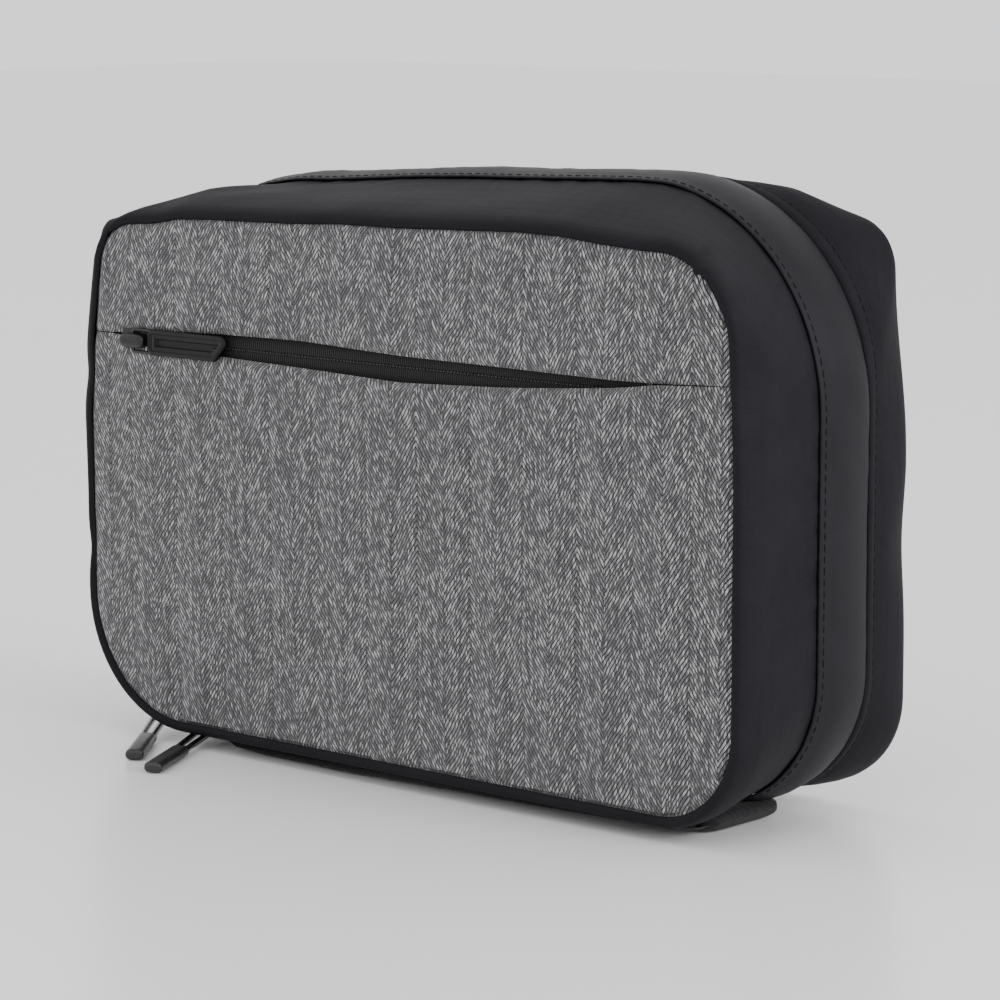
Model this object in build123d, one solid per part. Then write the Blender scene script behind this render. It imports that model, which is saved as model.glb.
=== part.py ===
from build123d import *

import os
from math import cos, degrees, radians, sin, tan

# Cable organizer pouch: a soft bag that stands on a strap handle sewn under it.
# A deep front compartment (the tray) and a shallow rear lid are joined by a fabric
# hinge along the bottom and by a zip with two sliders round the other three sides.
# The front of the tray has a flat pocket with its own zip.
#
# Frame: +X to the wearer's right seen from the front, +Y from front to back, +Z up.
# z = 0 is the surface the strap stands on.  A "depth" is measured back from the
# front face, and an "inset" is measured inwards from the bag's outer skin.

# ---------------------------------------------------------------- driving sizes
bag_width = 247.2           # across the waist, without the flap over the zip
bag_height = 166.0          # at the waist
bag_depth = 72.0            # front face to rear face
pull_stand_out = 3.3        # how far the front slider stands proud of the front face
fit_gap = 0.3               # clear space between parts that move or only touch
sew_gap = 0.1               # clear space between layers that are sewn together

# outline at three depths: half width, lowest z, highest z, top radius, bottom radius
waist_half_width = bag_width / 2
waist_low = 5.0
waist_high = waist_low + bag_height
waist_top_radius, waist_low_radius = 60.0, 38.0
front_half_width, front_low, front_high = waist_half_width - 2.1, waist_low + 3.8, waist_high - 12.3
front_top_radius, front_low_radius = 28.0, 28.0
rear_half_width, rear_low, rear_high = waist_half_width - 1.6, waist_low + 2.0, waist_high - 4.0
rear_top_radius, rear_low_radius = 31.0, 31.0

# thicknesses
shell_thickness = 1.2
lining_thickness = 0.8
front_panel_thickness = 1.6
foam_thickness = 3.0
tape_thickness = 0.6
flap_thickness = 1.0

# zip chain, shared by both zips
coil_half_width = 2.4
coil_gap = 1.2              # between the two halves, where the slider's post runs
coil_thickness = 1.8
stop_length = 1.6
chain_edge = coil_gap / 2 + coil_half_width

# zip slider, in its own frame: x along the chain, y across it, z outwards
slider_length, slider_width = 12.0, 8.4
slider_plate = 1.2
slider_inner_plate = 1.0
plate_above_coil = 1.3      # from the coil's middle plane to the outer plate
inner_below_pocket_coil = 1.3
inner_below_main_coil = 1.8  # more, because the main chain bends inside the slider
post_width, post_length = 0.9, 3.5
bridge_width, bridge_top, bridge_wall = 2.6, 5.3, 1.1
wire_radius = 0.55          # the bail that joins a slider to its pull
bail_half_width = 3.2
bail_x = -0.5               # where the bail's pin lies along the slider
bail_z = 3.4                # and how far out from the coil's middle

# depths of the stations along the gusset
front_slope_depth = 32.0    # the outline reaches its full size here
zip_depth = 48.5            # middle of the main zip
tray_edge_depth = zip_depth - slider_width / 2 - 0.8    # the tray's gusset ends here
lid_edge_depth = zip_depth + slider_width / 2 + 0.5     # the lid's gusset begins here
flap_edge_depth = lid_edge_depth - 1.2                  # rear edge of the flap over the zip

# insets of the layers behind the skin
panel_inset = shell_thickness + sew_gap
tape_inset = shell_thickness + sew_gap
lining_inset = tape_inset + tape_thickness + 2 * sew_gap
inside_inset = lining_inset + lining_thickness

# front pocket and its zip
pocket_depth = 5.4          # room inside the pocket, front to back
pocket_zip_height = front_high - 38.7
slot_left, slot_right = 9.5 - front_half_width, front_half_width - 29.5
slot_width = slider_width + 2 * fit_gap     # opening between the two front panels
pocket_tape_width = 12.0
tape_past_slot = 4.0

# front slider and its pull tab, at the left end of the slot
pocket_slider_x = slot_left + 8.8
pocket_coil_depth = 2.0     # depth of the coil's middle plane
tab_length, tab_width, tab_thickness = 32.0, 7.5, 2.2
tab_start = 6.2             # from the slider's middle to the near end of the tab
tab_grip = 1.9              # how far the bail reaches into the tab
tab_recess_length, tab_recess_width, tab_recess_depth = 14.0, 2.6, 0.8

# main zip; its sliders are parked round the bottom left corner
main_tape_width = 7.5
arc_x, arc_z = waist_low_radius - waist_half_width, waist_low + waist_low_radius
coil_out_inset = tape_inset - 0.3
coil_in_inset = coil_out_inset + coil_thickness
coil_radius = waist_low_radius - (coil_out_inset + coil_in_inset) / 2
hinge_half_length = -arc_x - 7.6    # the zip stops here, each side of the fabric hinge
slider_a_angle, slider_b_angle = 37.0, 60.5     # degrees below the horizontal
slider_a_top_angle = slider_a_angle - degrees(slider_length / 2 / coil_radius)
left_chain_top = arc_z - coil_radius * sin(radians(slider_a_top_angle)) + 3.2
flap_left_low = arc_z + 3.0         # the flap ends here at the left, so the sliders show
flap_right_end = 12.4 - arc_x       # and here under the right corner
bail_a_drop, bail_b_drop = 7.4, 6.2

# pull cords: one loop each, hooked round the bail, both ends in a moulded sleeve
cord_diameter = 1.9
sleeve_length, sleeve_width, sleeve_height = 24.0, 5.6, 3.2
sleeve_cover = 6.0          # how far the cord's two ends run into the sleeve

# strap handle under the bag
strap_thickness = 2.2
strap_front_depth, strap_rear_depth = 4.0, 48.0
strap_left_end, strap_right_end = -hinge_half_length, waist_half_width - 23.6
grip_left, grip_right = strap_left_end + 33.0, strap_right_end - 25.0
strap_root_length = 9.0
strap_root_rear_depth = front_slope_depth - fit_gap

# fabric hinge under the bag
hinge_thickness = 0.8
hinge_overlap = 5.5         # how far it runs along the tray's and the lid's gusset

# inside the tray
divider_x = 42.0
divider_thickness = 5.0
divider_recess = 2.0        # from the opening down to the divider's edge
hook_thickness = 1.1
hook_end_margin = 3.0       # from a divider's edge to the end of its hook strip
slip_half_width, slip_low, slip_high = 36.0, waist_low + 7.4, 82.0
slip_room = 6.2
slip_wall = 0.8

# inside the lid
lid_foam_depth = bag_depth - shell_thickness - 2 * sew_gap - foam_thickness
lid_wall_depth = lid_foam_depth - 2 * sew_gap - lining_thickness    # front of the lid's lining
loop_band_width = 25.0
loop_high = waist_high - 26.0
loop_low = loop_high - loop_band_width
loop_count = 5
loop_pitch = 36.0
loop_width, loop_room, elastic_thickness = 29.0, 7.2, 1.0
mesh_top = loop_low - 15.0
mesh_room = 5.6
mesh_wall = 0.8
mesh_binding_height = 8.0
binding_width, binding_thickness = 1.3, 1.0

# ---------------------------------------------------------------- stations
front_y = pull_stand_out - (bag_depth + pull_stand_out) / 2
hinge_y = front_y + zip_depth
far = 400.0                 # longer than the bag, for cutting blocks

outline_keys = [
    (0.0, front_half_width, front_low, front_high, front_top_radius, front_low_radius),
    (front_slope_depth, waist_half_width, waist_low, waist_high, waist_top_radius, waist_low_radius),
    (lid_edge_depth, waist_half_width, waist_low, waist_high, waist_top_radius, waist_low_radius),
    (bag_depth, rear_half_width, rear_low, rear_high, rear_top_radius, rear_low_radius),
]


def outline_sizes(depth):
    """Half width, low, high, top radius and bottom radius of the skin at a depth."""
    for near, away in zip(outline_keys, outline_keys[1:]):
        if depth <= away[0]:
            share = (depth - near[0]) / (away[0] - near[0])
            return [a + share * (b - a) for a, b in zip(near[1:], away[1:])]
    return list(outline_keys[-1][1:])


def outline(depth, inset):
    """The bag's outline at a depth, moved inwards by inset, as a face."""
    half, low, high, top, bottom = outline_sizes(depth)
    half, low, high = half - inset, low + inset, high - inset
    top, bottom = top - inset, bottom - inset
    edges = [
        Line((bottom - half, low), (half - bottom, low)),
        CenterArc((half - bottom, low + bottom), bottom, -90, 90),
        Line((half, low + bottom), (half, high - top)),
        CenterArc((half - top, high - top), top, 0, 90),
        Line((half - top, high), (top - half, high)),
        CenterArc((top - half, high - top), top, 90, 90),
        Line((-half, high - top), (-half, low + bottom)),
        CenterArc((bottom - half, low + bottom), bottom, 180, 90),
    ]
    return Plane.XZ.offset(-(front_y + depth)) * make_face(edges)


def body(near, away, inset):
    """Everything inside the outline between two depths."""
    between = [key[0] for key in outline_keys if near < key[0] < away]
    return loft([outline(depth, inset) for depth in [near, *between, away]], ruled=True)


def ring(near, away, outer, inner):
    """A band of the bag's outline between two depths and two insets."""
    return body(near, away, outer) - body(near, away, inner)


def block(x0, x1, near, away, z0, z1):
    """A box between two x, two depths and two z."""
    size = (x1 - x0, away - near, z1 - z0)
    middle = ((x0 + x1) / 2, front_y + (near + away) / 2, (z0 + z1) / 2)
    return Pos(*middle) * Box(*size)


def write(name, *pieces):
    """Write one node, as one solid or as a group of separate ones."""
    solids = [solid for piece in pieces for solid in piece.solids()]
    export_step(solids[0] if len(solids) == 1 else Compound(children=solids), f"parts/{name}.step")


os.makedirs("parts", exist_ok=True)

# ---------------------------------------------------------------- front panels and pocket
panel_face = body(0, front_panel_thickness, panel_inset)
slot = block(slot_left, slot_right, -1, front_panel_thickness + 1,
             pocket_zip_height - slot_width / 2, pocket_zip_height + slot_width / 2)
above_zip = block(-far, far, -1, far, pocket_zip_height, far)
below_zip = block(-far, far, -1, far, -far, pocket_zip_height)
write("front_panel_upper", panel_face & above_zip - slot)
write("front_panel_lower", panel_face & below_zip - slot)

pocket_back_depth = front_panel_thickness + pocket_depth
pocket_back = body(pocket_back_depth, pocket_back_depth + tape_thickness, tape_inset + sew_gap)
pocket_sides = ring(front_panel_thickness + fit_gap, pocket_back_depth,
                    tape_inset + sew_gap, tape_inset + sew_gap + tape_thickness)
write("pocket_lining", pocket_back + pocket_sides)

foam_front_depth = pocket_back_depth + tape_thickness + 2 * sew_gap
write("front_foam", body(foam_front_depth, foam_front_depth + foam_thickness, lining_inset + sew_gap))


tape_near = front_panel_thickness + 2 * sew_gap
coil_ends = (slot_left + stop_length + 2 * sew_gap, slot_right - stop_length - 2 * sew_gap)
for name, side in (("upper", 1), ("lower", -1)):
    coil_edges = sorted(pocket_zip_height + side * edge for edge in (coil_gap / 2, chain_edge))
    write(f"pocket_zip_coil_{name}",
          block(*coil_ends, pocket_coil_depth - coil_thickness / 2,
                pocket_coil_depth + coil_thickness / 2, *coil_edges))
    tape_edges = sorted(pocket_zip_height + side * edge
                        for edge in (chain_edge, chain_edge + pocket_tape_width))
    write(f"pocket_zip_tape_{name}",
          block(slot_left - tape_past_slot, slot_right + tape_past_slot,
                tape_near, tape_near + tape_thickness, *tape_edges))

write("pocket_zip_stops", *[
    block(x, x + stop_length, pocket_coil_depth - coil_thickness / 2,
          pocket_coil_depth + coil_thickness / 2,
          pocket_zip_height - chain_edge, pocket_zip_height + chain_edge)
    for x in (slot_left + sew_gap, slot_right - sew_gap - stop_length)
])

# ---------------------------------------------------------------- tray shell
write("front_gusset", ring(0, tray_edge_depth, 0, shell_thickness))

tray_wall_depth = foam_front_depth + foam_thickness + 2 * sew_gap
tray_floor_depth = tray_wall_depth + lining_thickness
tray_lining_end = tray_edge_depth - binding_width - 2 * sew_gap
write("tray_lining",
      body(tray_wall_depth, tray_floor_depth, lining_inset)
      + ring(tray_floor_depth, tray_lining_end, lining_inset, inside_inset))
write("tray_binding",
      ring(tray_lining_end + sew_gap, tray_lining_end + sew_gap + binding_width,
           lining_inset, lining_inset + binding_thickness))

# ---------------------------------------------------------------- main zip and its flap
hinge_cut = block(-hinge_half_length, hinge_half_length, 0, bag_depth, -far, arc_z)
left_corner = block(-far, -hinge_half_length, 0, bag_depth, -far, left_chain_top)
tape_end_inset = tape_inset + tape_thickness

tray_coil = (zip_depth - chain_edge, zip_depth - coil_gap / 2)
lid_coil = (zip_depth + coil_gap / 2, zip_depth + chain_edge)
lid_chain = ring(*lid_coil, coil_out_inset, coil_in_inset) - hinge_cut
write("main_zip_coil_tray", ring(*tray_coil, coil_out_inset, coil_in_inset) - hinge_cut)
write("main_zip_coil_lid", lid_chain - left_corner)
write("main_zip_coil_end", lid_chain & left_corner)
write("main_zip_tape_tray",
      ring(tray_coil[0] - main_tape_width, tray_coil[0], tape_inset, tape_end_inset) - hinge_cut)
write("main_zip_tape_lid",
      ring(lid_coil[1], lid_coil[1] + main_tape_width, tape_inset, tape_end_inset)
      - hinge_cut - left_corner)
write("main_zip_stops", *[
    block(x, x + stop_length, zip_depth - chain_edge, zip_depth + chain_edge,
          waist_low + coil_out_inset, waist_low + coil_in_inset)
    for x in (-hinge_half_length + sew_gap, hinge_half_length - sew_gap - stop_length)
])
write("zip_flap",
      ring(front_slope_depth, flap_edge_depth, -flap_thickness - 2 * sew_gap, -2 * sew_gap)
      - block(-far, flap_right_end, 0, bag_depth, -far, flap_left_low))


# ---------------------------------------------------------------- sliders
def rounded_plate(low, high):
    """A slider's plate between two heights, with a narrower nose."""
    nose = slider_width * 0.62
    half, wide = slider_length / 2, slider_width / 2
    shape = Polygon((-half, -wide), (half - 3.5, -wide), (half, -nose / 2),
                    (half, nose / 2), (half - 3.5, wide), (-half, wide), align=None)
    shape = fillet(shape.vertices(), 1.1)
    return Pos(0, 0, low) * extrude(shape, high - low)


def slider(inner_below):
    """One slider, in its own frame: x along the chain, y across it, z outwards."""
    outer_top = plate_above_coil + slider_plate
    piece = rounded_plate(plate_above_coil, outer_top)
    piece += rounded_plate(-inner_below - slider_inner_plate, -inner_below)
    post_height = plate_above_coil + inner_below + 0.4
    piece += (Pos(2.6, 0, (plate_above_coil - inner_below) / 2)
              * Box(post_length, post_width, post_height))
    lip = slider_width / 2 - chain_edge - fit_gap
    for side in (-1, 1):
        y = side * (slider_width / 2 - lip / 2)
        piece += Pos(-1.5, y, plate_above_coil - 0.1) * Box(7.0, lip, 0.6)
        piece += Pos(-1.5, y, -inner_below + 0.1) * Box(7.0, lip, 0.6)
    arch = Polygon((-4.6, outer_top - 0.2), (-3.9, bridge_top), (2.9, bridge_top),
                   (3.6, outer_top - 0.2), align=None)
    arch = fillet(arch.vertices().group_by(Axis.Y)[-1], 1.2)
    hole = Polygon((-4.6 + bridge_wall, outer_top), (-3.9 + bridge_wall, bridge_top - bridge_wall),
                   (2.9 - bridge_wall, bridge_top - bridge_wall), (3.6 - bridge_wall, outer_top),
                   align=None)
    piece += Plane.XZ * extrude(arch - hole, bridge_width / 2, both=True)
    return piece


def bail(length, towards):
    """A closed wire loop: a pin through the slider's bridge, two arms and a far bar."""
    reach = Vector(*towards) * length
    corners = [Vector(0, -bail_half_width, 0), Vector(0, bail_half_width, 0)]
    corners += [corners[1] + reach, corners[0] + reach]
    path = FilletPolyline(*corners, close=True, radius=1.0)
    start = path @ 0
    return sweep(Plane(origin=start, z_dir=path % 0) * Circle(wire_radius), path)


pocket_frame = Plane(
    origin=(pocket_slider_x, front_y + pocket_coil_depth, pocket_zip_height),
    x_dir=(1, 0, 0), z_dir=(0, -1, 0),
)
write("pocket_slider", pocket_frame * slider(inner_below_pocket_coil))
pocket_bail_length = tab_start + tab_grip - bail_x
pocket_bail = Pos(bail_x, 0, bail_z) * bail(pocket_bail_length, (1, 0, 0))
write("pocket_pull_link", pocket_frame * pocket_bail)

tab_shape = Pos(tab_start + tab_length / 2, 0) * RectangleRounded(tab_length, tab_width, 2.4)
tab = Pos(0, 0, bail_z - tab_thickness / 2) * extrude(tab_shape, tab_thickness)
tab = chamfer(tab.edges().group_by(Axis.Z)[-1], 0.4)
recess_shape = RectangleRounded(tab_recess_length, tab_recess_width, tab_recess_width / 2 - 0.1)
recess_middle = (tab_start + tab_grip + 4.0 + tab_recess_length / 2, -0.12 * tab_width)
tab_recess = Pos(*recess_middle, bail_z + tab_thickness / 2 - tab_recess_depth) * extrude(
    recess_shape, tab_recess_depth)
arm_slots = [
    Pos(tab_start + tab_grip / 2, side * bail_half_width, bail_z)
    * Box(tab_grip + 1.2, 2 * wire_radius + 0.2, 2 * wire_radius + 0.2)
    for side in (-1, 1)
]
bar_slot = Pos(tab_start + tab_grip, 0, bail_z) * Box(
    2 * wire_radius + 0.2, 2 * bail_half_width + 2 * wire_radius + 0.2, 2 * wire_radius + 0.2)
write("pocket_pull_tab", pocket_frame * (tab - tab_recess - bar_slot - arm_slots[0] - arm_slots[1]))


def corner_frame(angle, upwards):
    """A slider's frame on the bottom left corner; its nose points up the bag or down."""
    out = Vector(-cos(radians(angle)), 0, -sin(radians(angle)))
    along = Vector(-sin(radians(angle)), 0, cos(radians(angle))) * (1 if upwards else -1)
    return Plane(origin=Vector(arc_x, hinge_y, arc_z) + out * coil_radius, x_dir=along, z_dir=out)


pins = {}
for name, angle, upwards, drop in (
    ("a", slider_a_angle, True, bail_a_drop),
    ("b", slider_b_angle, False, bail_b_drop),
):
    frame = corner_frame(angle, upwards)
    write(f"main_slider_{name}", frame * slider(inner_below_main_coil))
    pins[name] = frame.from_local_coords(Vector(bail_x, 0, bail_z))
    write(f"pull_link_{name}", Pos(*pins[name]) * bail(drop, (0, 0, -1)))

# ---------------------------------------------------------------- pull cords
# Each loop starts in its sleeve, runs back to the bail, goes round behind the bail's
# front arm and comes back beside itself into the sleeve.
# The corners of each route: x and y from the bail's pin, and the height above the floor.
cord_routes = {
    "a": [(22.45, -58.55, 1.7), (13.75, -47.65, 3), (6.95, -35.95, 5.1), (2.35, -24.15, 7.8),
          (-0.65, -13.35, 10.6), (-2.15, -5.55, 12.5), (-2.00, -0.75, 13.2), (2.00, -0.75, 13.2),
          (2.25, -5.15, 12.5), (3.55, -12.55, 10.6), (6.15, -22.95, 7.8), (10.35, -34.35, 5.1),
          (16.75, -45.75, 3), (24.75, -56.75, 1.7)],
    "b": [(29.99, -64.75, 1.7), (23.69, -53.15, 2.1), (17.19, -41.15, 2.6), (10.59, -28.85, 3.1),
          (4.29, -17.15, 3.6), (-0.71, -7.75, 4.1), (-2.21, -1.65, 4.35), (1.99, -0.05, 4.35),
          (3.99, -5.55, 4.1), (9.09, -14.85, 3.6), (14.89, -26.55, 3.1), (20.89, -39.25, 2.6),
          (26.89, -51.55, 2.1), (32.59, -63.45, 1.7)],
}


def cord_radii(points):
    """The largest fitting arc at each corner: 0.45 of the shorter run over tan(turn / 2)."""
    vectors = [Vector(*b) - Vector(*a) for a, b in zip(points, points[1:])]
    return [
        0.45 * min(before.length, after.length) / tan(radians(before.get_angle(after)) / 2)
        for before, after in zip(vectors, vectors[1:])
    ]


def cord(points):
    """A round cord along straight runs joined by tangent arcs."""
    radii = cord_radii(points)
    print("  arc radii", [round(radius, 1) for radius in radii])
    path = FilletPolyline(*points, radius=radii)
    tube = sweep(Plane(origin=path @ 0, z_dir=path % 0) * Circle(cord_diameter / 2), path)
    print("  length", round(path.length, 1), "volume ratio",
          round(tube.volume / (Circle(cord_diameter / 2).area * path.length), 4))
    return tube


for name, route in cord_routes.items():
    print(f"pull_cord_{name}")
    points = [(pins[name].X + x, pins[name].Y + y, z) for x, y, z in route]
    write(f"pull_cord_{name}", cord(points))
    mouth = (Vector(*points[0]) + Vector(*points[-1])) / 2
    next_in = (Vector(*points[1]) + Vector(*points[-2])) / 2
    outwards = Vector(mouth.X - next_in.X, mouth.Y - next_in.Y, 0).normalized()
    across = (Vector(*points[0]) - Vector(*points[-1])).normalized()
    sleeve_frame = Plane(origin=mouth - outwards * sleeve_cover, x_dir=across, z_dir=outwards)
    shape = RectangleRounded(sleeve_width, sleeve_height, sleeve_height / 2 - 0.05)
    sleeve = extrude(shape, sleeve_length)
    sleeve = fillet(sleeve.edges().group_by(Axis.Z)[-1], 1.0)
    write(f"pull_sleeve_{name}", sleeve_frame * sleeve)

# ---------------------------------------------------------------- strap handle
bag_with_gap = body(0, bag_depth, -sew_gap)


def strap(x0, x1):
    """A length of the flat strap under the bag."""
    return block(x0, x1, strap_front_depth, strap_rear_depth, 0, strap_thickness)


def strap_root(x0, x1):
    """Where the strap turns up and is sewn to the tray's underside."""
    root = block(x0, x1, strap_front_depth, strap_root_rear_depth, 0, front_low + 1)
    return root - bag_with_gap


write("handle_grip", strap(grip_left, grip_right))
write("handle_leg_left",
      strap(strap_left_end, grip_left - fit_gap)
      + strap_root(strap_left_end, strap_left_end + strap_root_length))
write("handle_leg_right",
      strap(grip_right + fit_gap, strap_right_end)
      + strap_root(strap_right_end - strap_root_length, strap_right_end))

# ---------------------------------------------------------------- fabric hinge
hinge_top = waist_low - fit_gap
hinge_half = hinge_half_length - 2.0
write("hinge_gusset",
      block(-hinge_half, hinge_half, tray_edge_depth - hinge_overlap, zip_depth - fit_gap,
            hinge_top - hinge_thickness, hinge_top))
write("hinge_gusset_lid",
      block(-hinge_half, hinge_half, zip_depth + fit_gap, lid_edge_depth + hinge_overlap,
            hinge_top - hinge_thickness, hinge_top))

# ---------------------------------------------------------------- lid shell
write("rear_gusset", ring(lid_edge_depth, bag_depth, 0, shell_thickness))
write("rear_panel", body(bag_depth - shell_thickness, bag_depth, panel_inset))
write("rear_foam", body(lid_foam_depth, lid_foam_depth + foam_thickness, lining_inset + sew_gap))
lid_binding_start = lid_edge_depth - 2 * sew_gap
lid_lining_start = lid_binding_start + binding_width + sew_gap
write("lid_lining",
      body(lid_wall_depth, lid_wall_depth + lining_thickness, lining_inset)
      + ring(lid_lining_start, lid_wall_depth, lining_inset, inside_inset))
write("lid_binding",
      ring(lid_binding_start, lid_binding_start + binding_width,
           lining_inset, lining_inset + binding_thickness))

# ---------------------------------------------------------------- lid fittings
mesh_outer = inside_inset + fit_gap
mesh_rear_depth = lid_wall_depth - fit_gap
mesh_front_depth = mesh_rear_depth - mesh_room - mesh_wall
below_mesh_top = block(-far, far, 0, bag_depth, -far, mesh_top)
mesh_shell = body(mesh_front_depth, mesh_rear_depth, mesh_outer)
mesh_hollow = body(mesh_front_depth + mesh_wall, mesh_rear_depth, mesh_outer + mesh_wall)
write("mesh_pocket", (mesh_shell - mesh_hollow) & below_mesh_top)
binding_half = waist_half_width - mesh_outer - 4.0
write("mesh_binding",
      block(-binding_half, binding_half, mesh_front_depth - sew_gap - binding_thickness,
            mesh_front_depth - sew_gap, mesh_top - mesh_binding_height, mesh_top))

elastic_rear = lid_wall_depth - 2 * sew_gap
loops_half = (loop_count - 1) / 2 * loop_pitch + loop_width / 2 + 6
elastic = block(-loops_half, loops_half, elastic_rear - elastic_thickness, elastic_rear, loop_low, loop_high)
for number in range(loop_count):
    x = (number - (loop_count - 1) / 2) * loop_pitch
    outer = Ellipse(loop_width / 2, loop_room + elastic_thickness)
    inner = Ellipse(loop_width / 2 - elastic_thickness, loop_room)
    hoop = extrude(outer - inner, loop_high - loop_low)
    hoop = Pos(x, front_y + elastic_rear - elastic_thickness, loop_low) * hoop
    elastic += hoop & block(-far, far, 0, elastic_rear - elastic_thickness, loop_low, loop_high)
write("cable_loops", elastic)

# ---------------------------------------------------------------- tray fittings
divider_front = tray_floor_depth + fit_gap
divider_rear = tray_edge_depth - divider_recess
for name, side in (("left", -1), ("right", 1)):
    x = side * divider_x
    slab = block(x - divider_thickness / 2, x + divider_thickness / 2, 0, bag_depth, -far, far)
    hook_inset = inside_inset + sew_gap
    divider_inset = hook_inset + hook_thickness + sew_gap
    write(f"divider_{name}", body(divider_front, divider_rear, divider_inset) & slab)
    hooks = ring(divider_front + hook_end_margin, divider_rear - hook_end_margin,
                 hook_inset, hook_inset + hook_thickness) & slab
    write(f"divider_hook_{name}", hooks)

slip_near = divider_front
slip_away = slip_near + 2 * slip_wall + slip_room
slip = block(-slip_half_width, slip_half_width, slip_near, slip_away, slip_low, slip_high)
slip -= block(-slip_half_width + slip_wall, slip_half_width - slip_wall, slip_near + slip_wall,
              slip_away - slip_wall, slip_low + slip_wall, slip_high + 1)
write("slip_pocket", slip)
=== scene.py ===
# %% [markdown]
# A cable organizer pouch, sewn from black nylon with a grey herringbone front. It is
# rebuilt here in Blender round a fixed frame: the hard and soft solids of the model that
# MuJoCo moves. The frame is loaded first and never changes. Every piece below is made in
# millimetres in the frame's own axes (+X right, +Y back, +Z up) and scaled to metres once.

# %% The fixed frame
import math

import bmesh
import bpy
import numpy as np
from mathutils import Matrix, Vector


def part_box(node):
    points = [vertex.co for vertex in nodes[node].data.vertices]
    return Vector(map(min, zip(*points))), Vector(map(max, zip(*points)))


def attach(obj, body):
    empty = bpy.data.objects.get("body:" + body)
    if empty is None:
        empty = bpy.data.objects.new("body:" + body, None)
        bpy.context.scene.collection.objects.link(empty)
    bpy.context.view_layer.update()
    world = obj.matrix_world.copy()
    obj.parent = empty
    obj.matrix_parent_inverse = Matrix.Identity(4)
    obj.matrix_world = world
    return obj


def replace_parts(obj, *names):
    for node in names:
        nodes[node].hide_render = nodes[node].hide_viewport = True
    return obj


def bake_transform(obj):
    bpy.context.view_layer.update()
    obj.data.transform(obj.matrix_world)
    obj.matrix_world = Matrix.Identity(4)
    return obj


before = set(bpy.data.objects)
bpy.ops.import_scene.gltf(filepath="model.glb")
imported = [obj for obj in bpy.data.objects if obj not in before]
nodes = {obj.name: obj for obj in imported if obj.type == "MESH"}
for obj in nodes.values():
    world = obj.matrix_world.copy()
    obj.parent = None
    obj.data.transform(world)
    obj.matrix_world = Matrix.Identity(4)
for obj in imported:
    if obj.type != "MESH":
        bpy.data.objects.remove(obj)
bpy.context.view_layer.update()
MM = 0.001
FRONT = -34.35          # y of the front face; a depth is measured back from here

# %% [markdown]
# The pouch is looked at from its right front, a little above, through a long lens that
# keeps its edges almost parallel. The lens and the place are set together: a shorter lens
# from nearer by would make the near corner loom. The camera is turned with
# `to_track_quat`, which points its own -Z axis along the line of sight.

# %% Camera
azimuth, elevation = math.radians(41.52), math.radians(8.66)
backwards = Vector((math.sin(azimuth) * math.cos(elevation),
                    -math.cos(azimuth) * math.cos(elevation), math.sin(elevation)))
camera = bpy.data.objects.new("camera", bpy.data.cameras.new("camera"))
bpy.context.scene.collection.objects.link(camera)
camera.data.lens, camera.data.sensor_width = 137.7, 36.0
camera.location = (0.7214, -0.8046, 0.2433)
camera.rotation_mode = "QUATERNION"
camera.rotation_quaternion = (-backwards).to_track_quat("-Z", "Y")
camera.data.clip_start, camera.data.clip_end = 0.01, 20.0
bpy.context.scene.camera = camera
print("camera", round(camera.location.length, 3), "m away")

# %% [markdown]
# Every finish is a node tree. Written by hand a tree is long and hard to read, so two
# small classes make it read like a formula. `Signal` wraps one output socket and turns
# + - * / into Math nodes; `Finish` owns the material and adds any other node.

# %% Shader arithmetic
class Signal:
    """One output socket; arithmetic on it adds Math nodes."""

    def __init__(self, finish, socket):
        self.finish, self.socket = finish, socket

    def _math(self, operation, *values):
        return self.finish.add("ShaderNodeMath", {"operation": operation}, dict(enumerate(values)))

    def __add__(self, other):
        return self._math("ADD", self, other)

    def __sub__(self, other):
        return self._math("SUBTRACT", self, other)

    def __rsub__(self, other):
        return self._math("SUBTRACT", other, self)

    def __mul__(self, other):
        return self._math("MULTIPLY", self, other)

    def __truediv__(self, other):
        return self._math("DIVIDE", self, other)

    def __rtruediv__(self, other):
        return self._math("DIVIDE", other, self)

    __radd__, __rmul__ = __add__, __mul__

    def floor(self):
        return self._math("FLOOR", self)

    def fract(self):
        return self._math("FRACT", self)

    def size(self):
        return self._math("ABSOLUTE", self)

    def wave(self):
        """A sine of this many whole turns."""
        return self._math("SINE", self * (2 * math.pi))

    def most(self, other):
        return self._math("MAXIMUM", self, other)

    def least(self, other):
        return self._math("MINIMUM", self, other)

    def between(self, low, high, to_low=0.0, to_high=1.0):
        """Smoothly from to_low, at low and before, to to_high, at high and after."""
        return self.finish.add("ShaderNodeMapRange", {"interpolation_type": "SMOOTHSTEP"}, {
            "Value": self, "From Min": low, "From Max": high, "To Min": to_low, "To Max": to_high})


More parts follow.
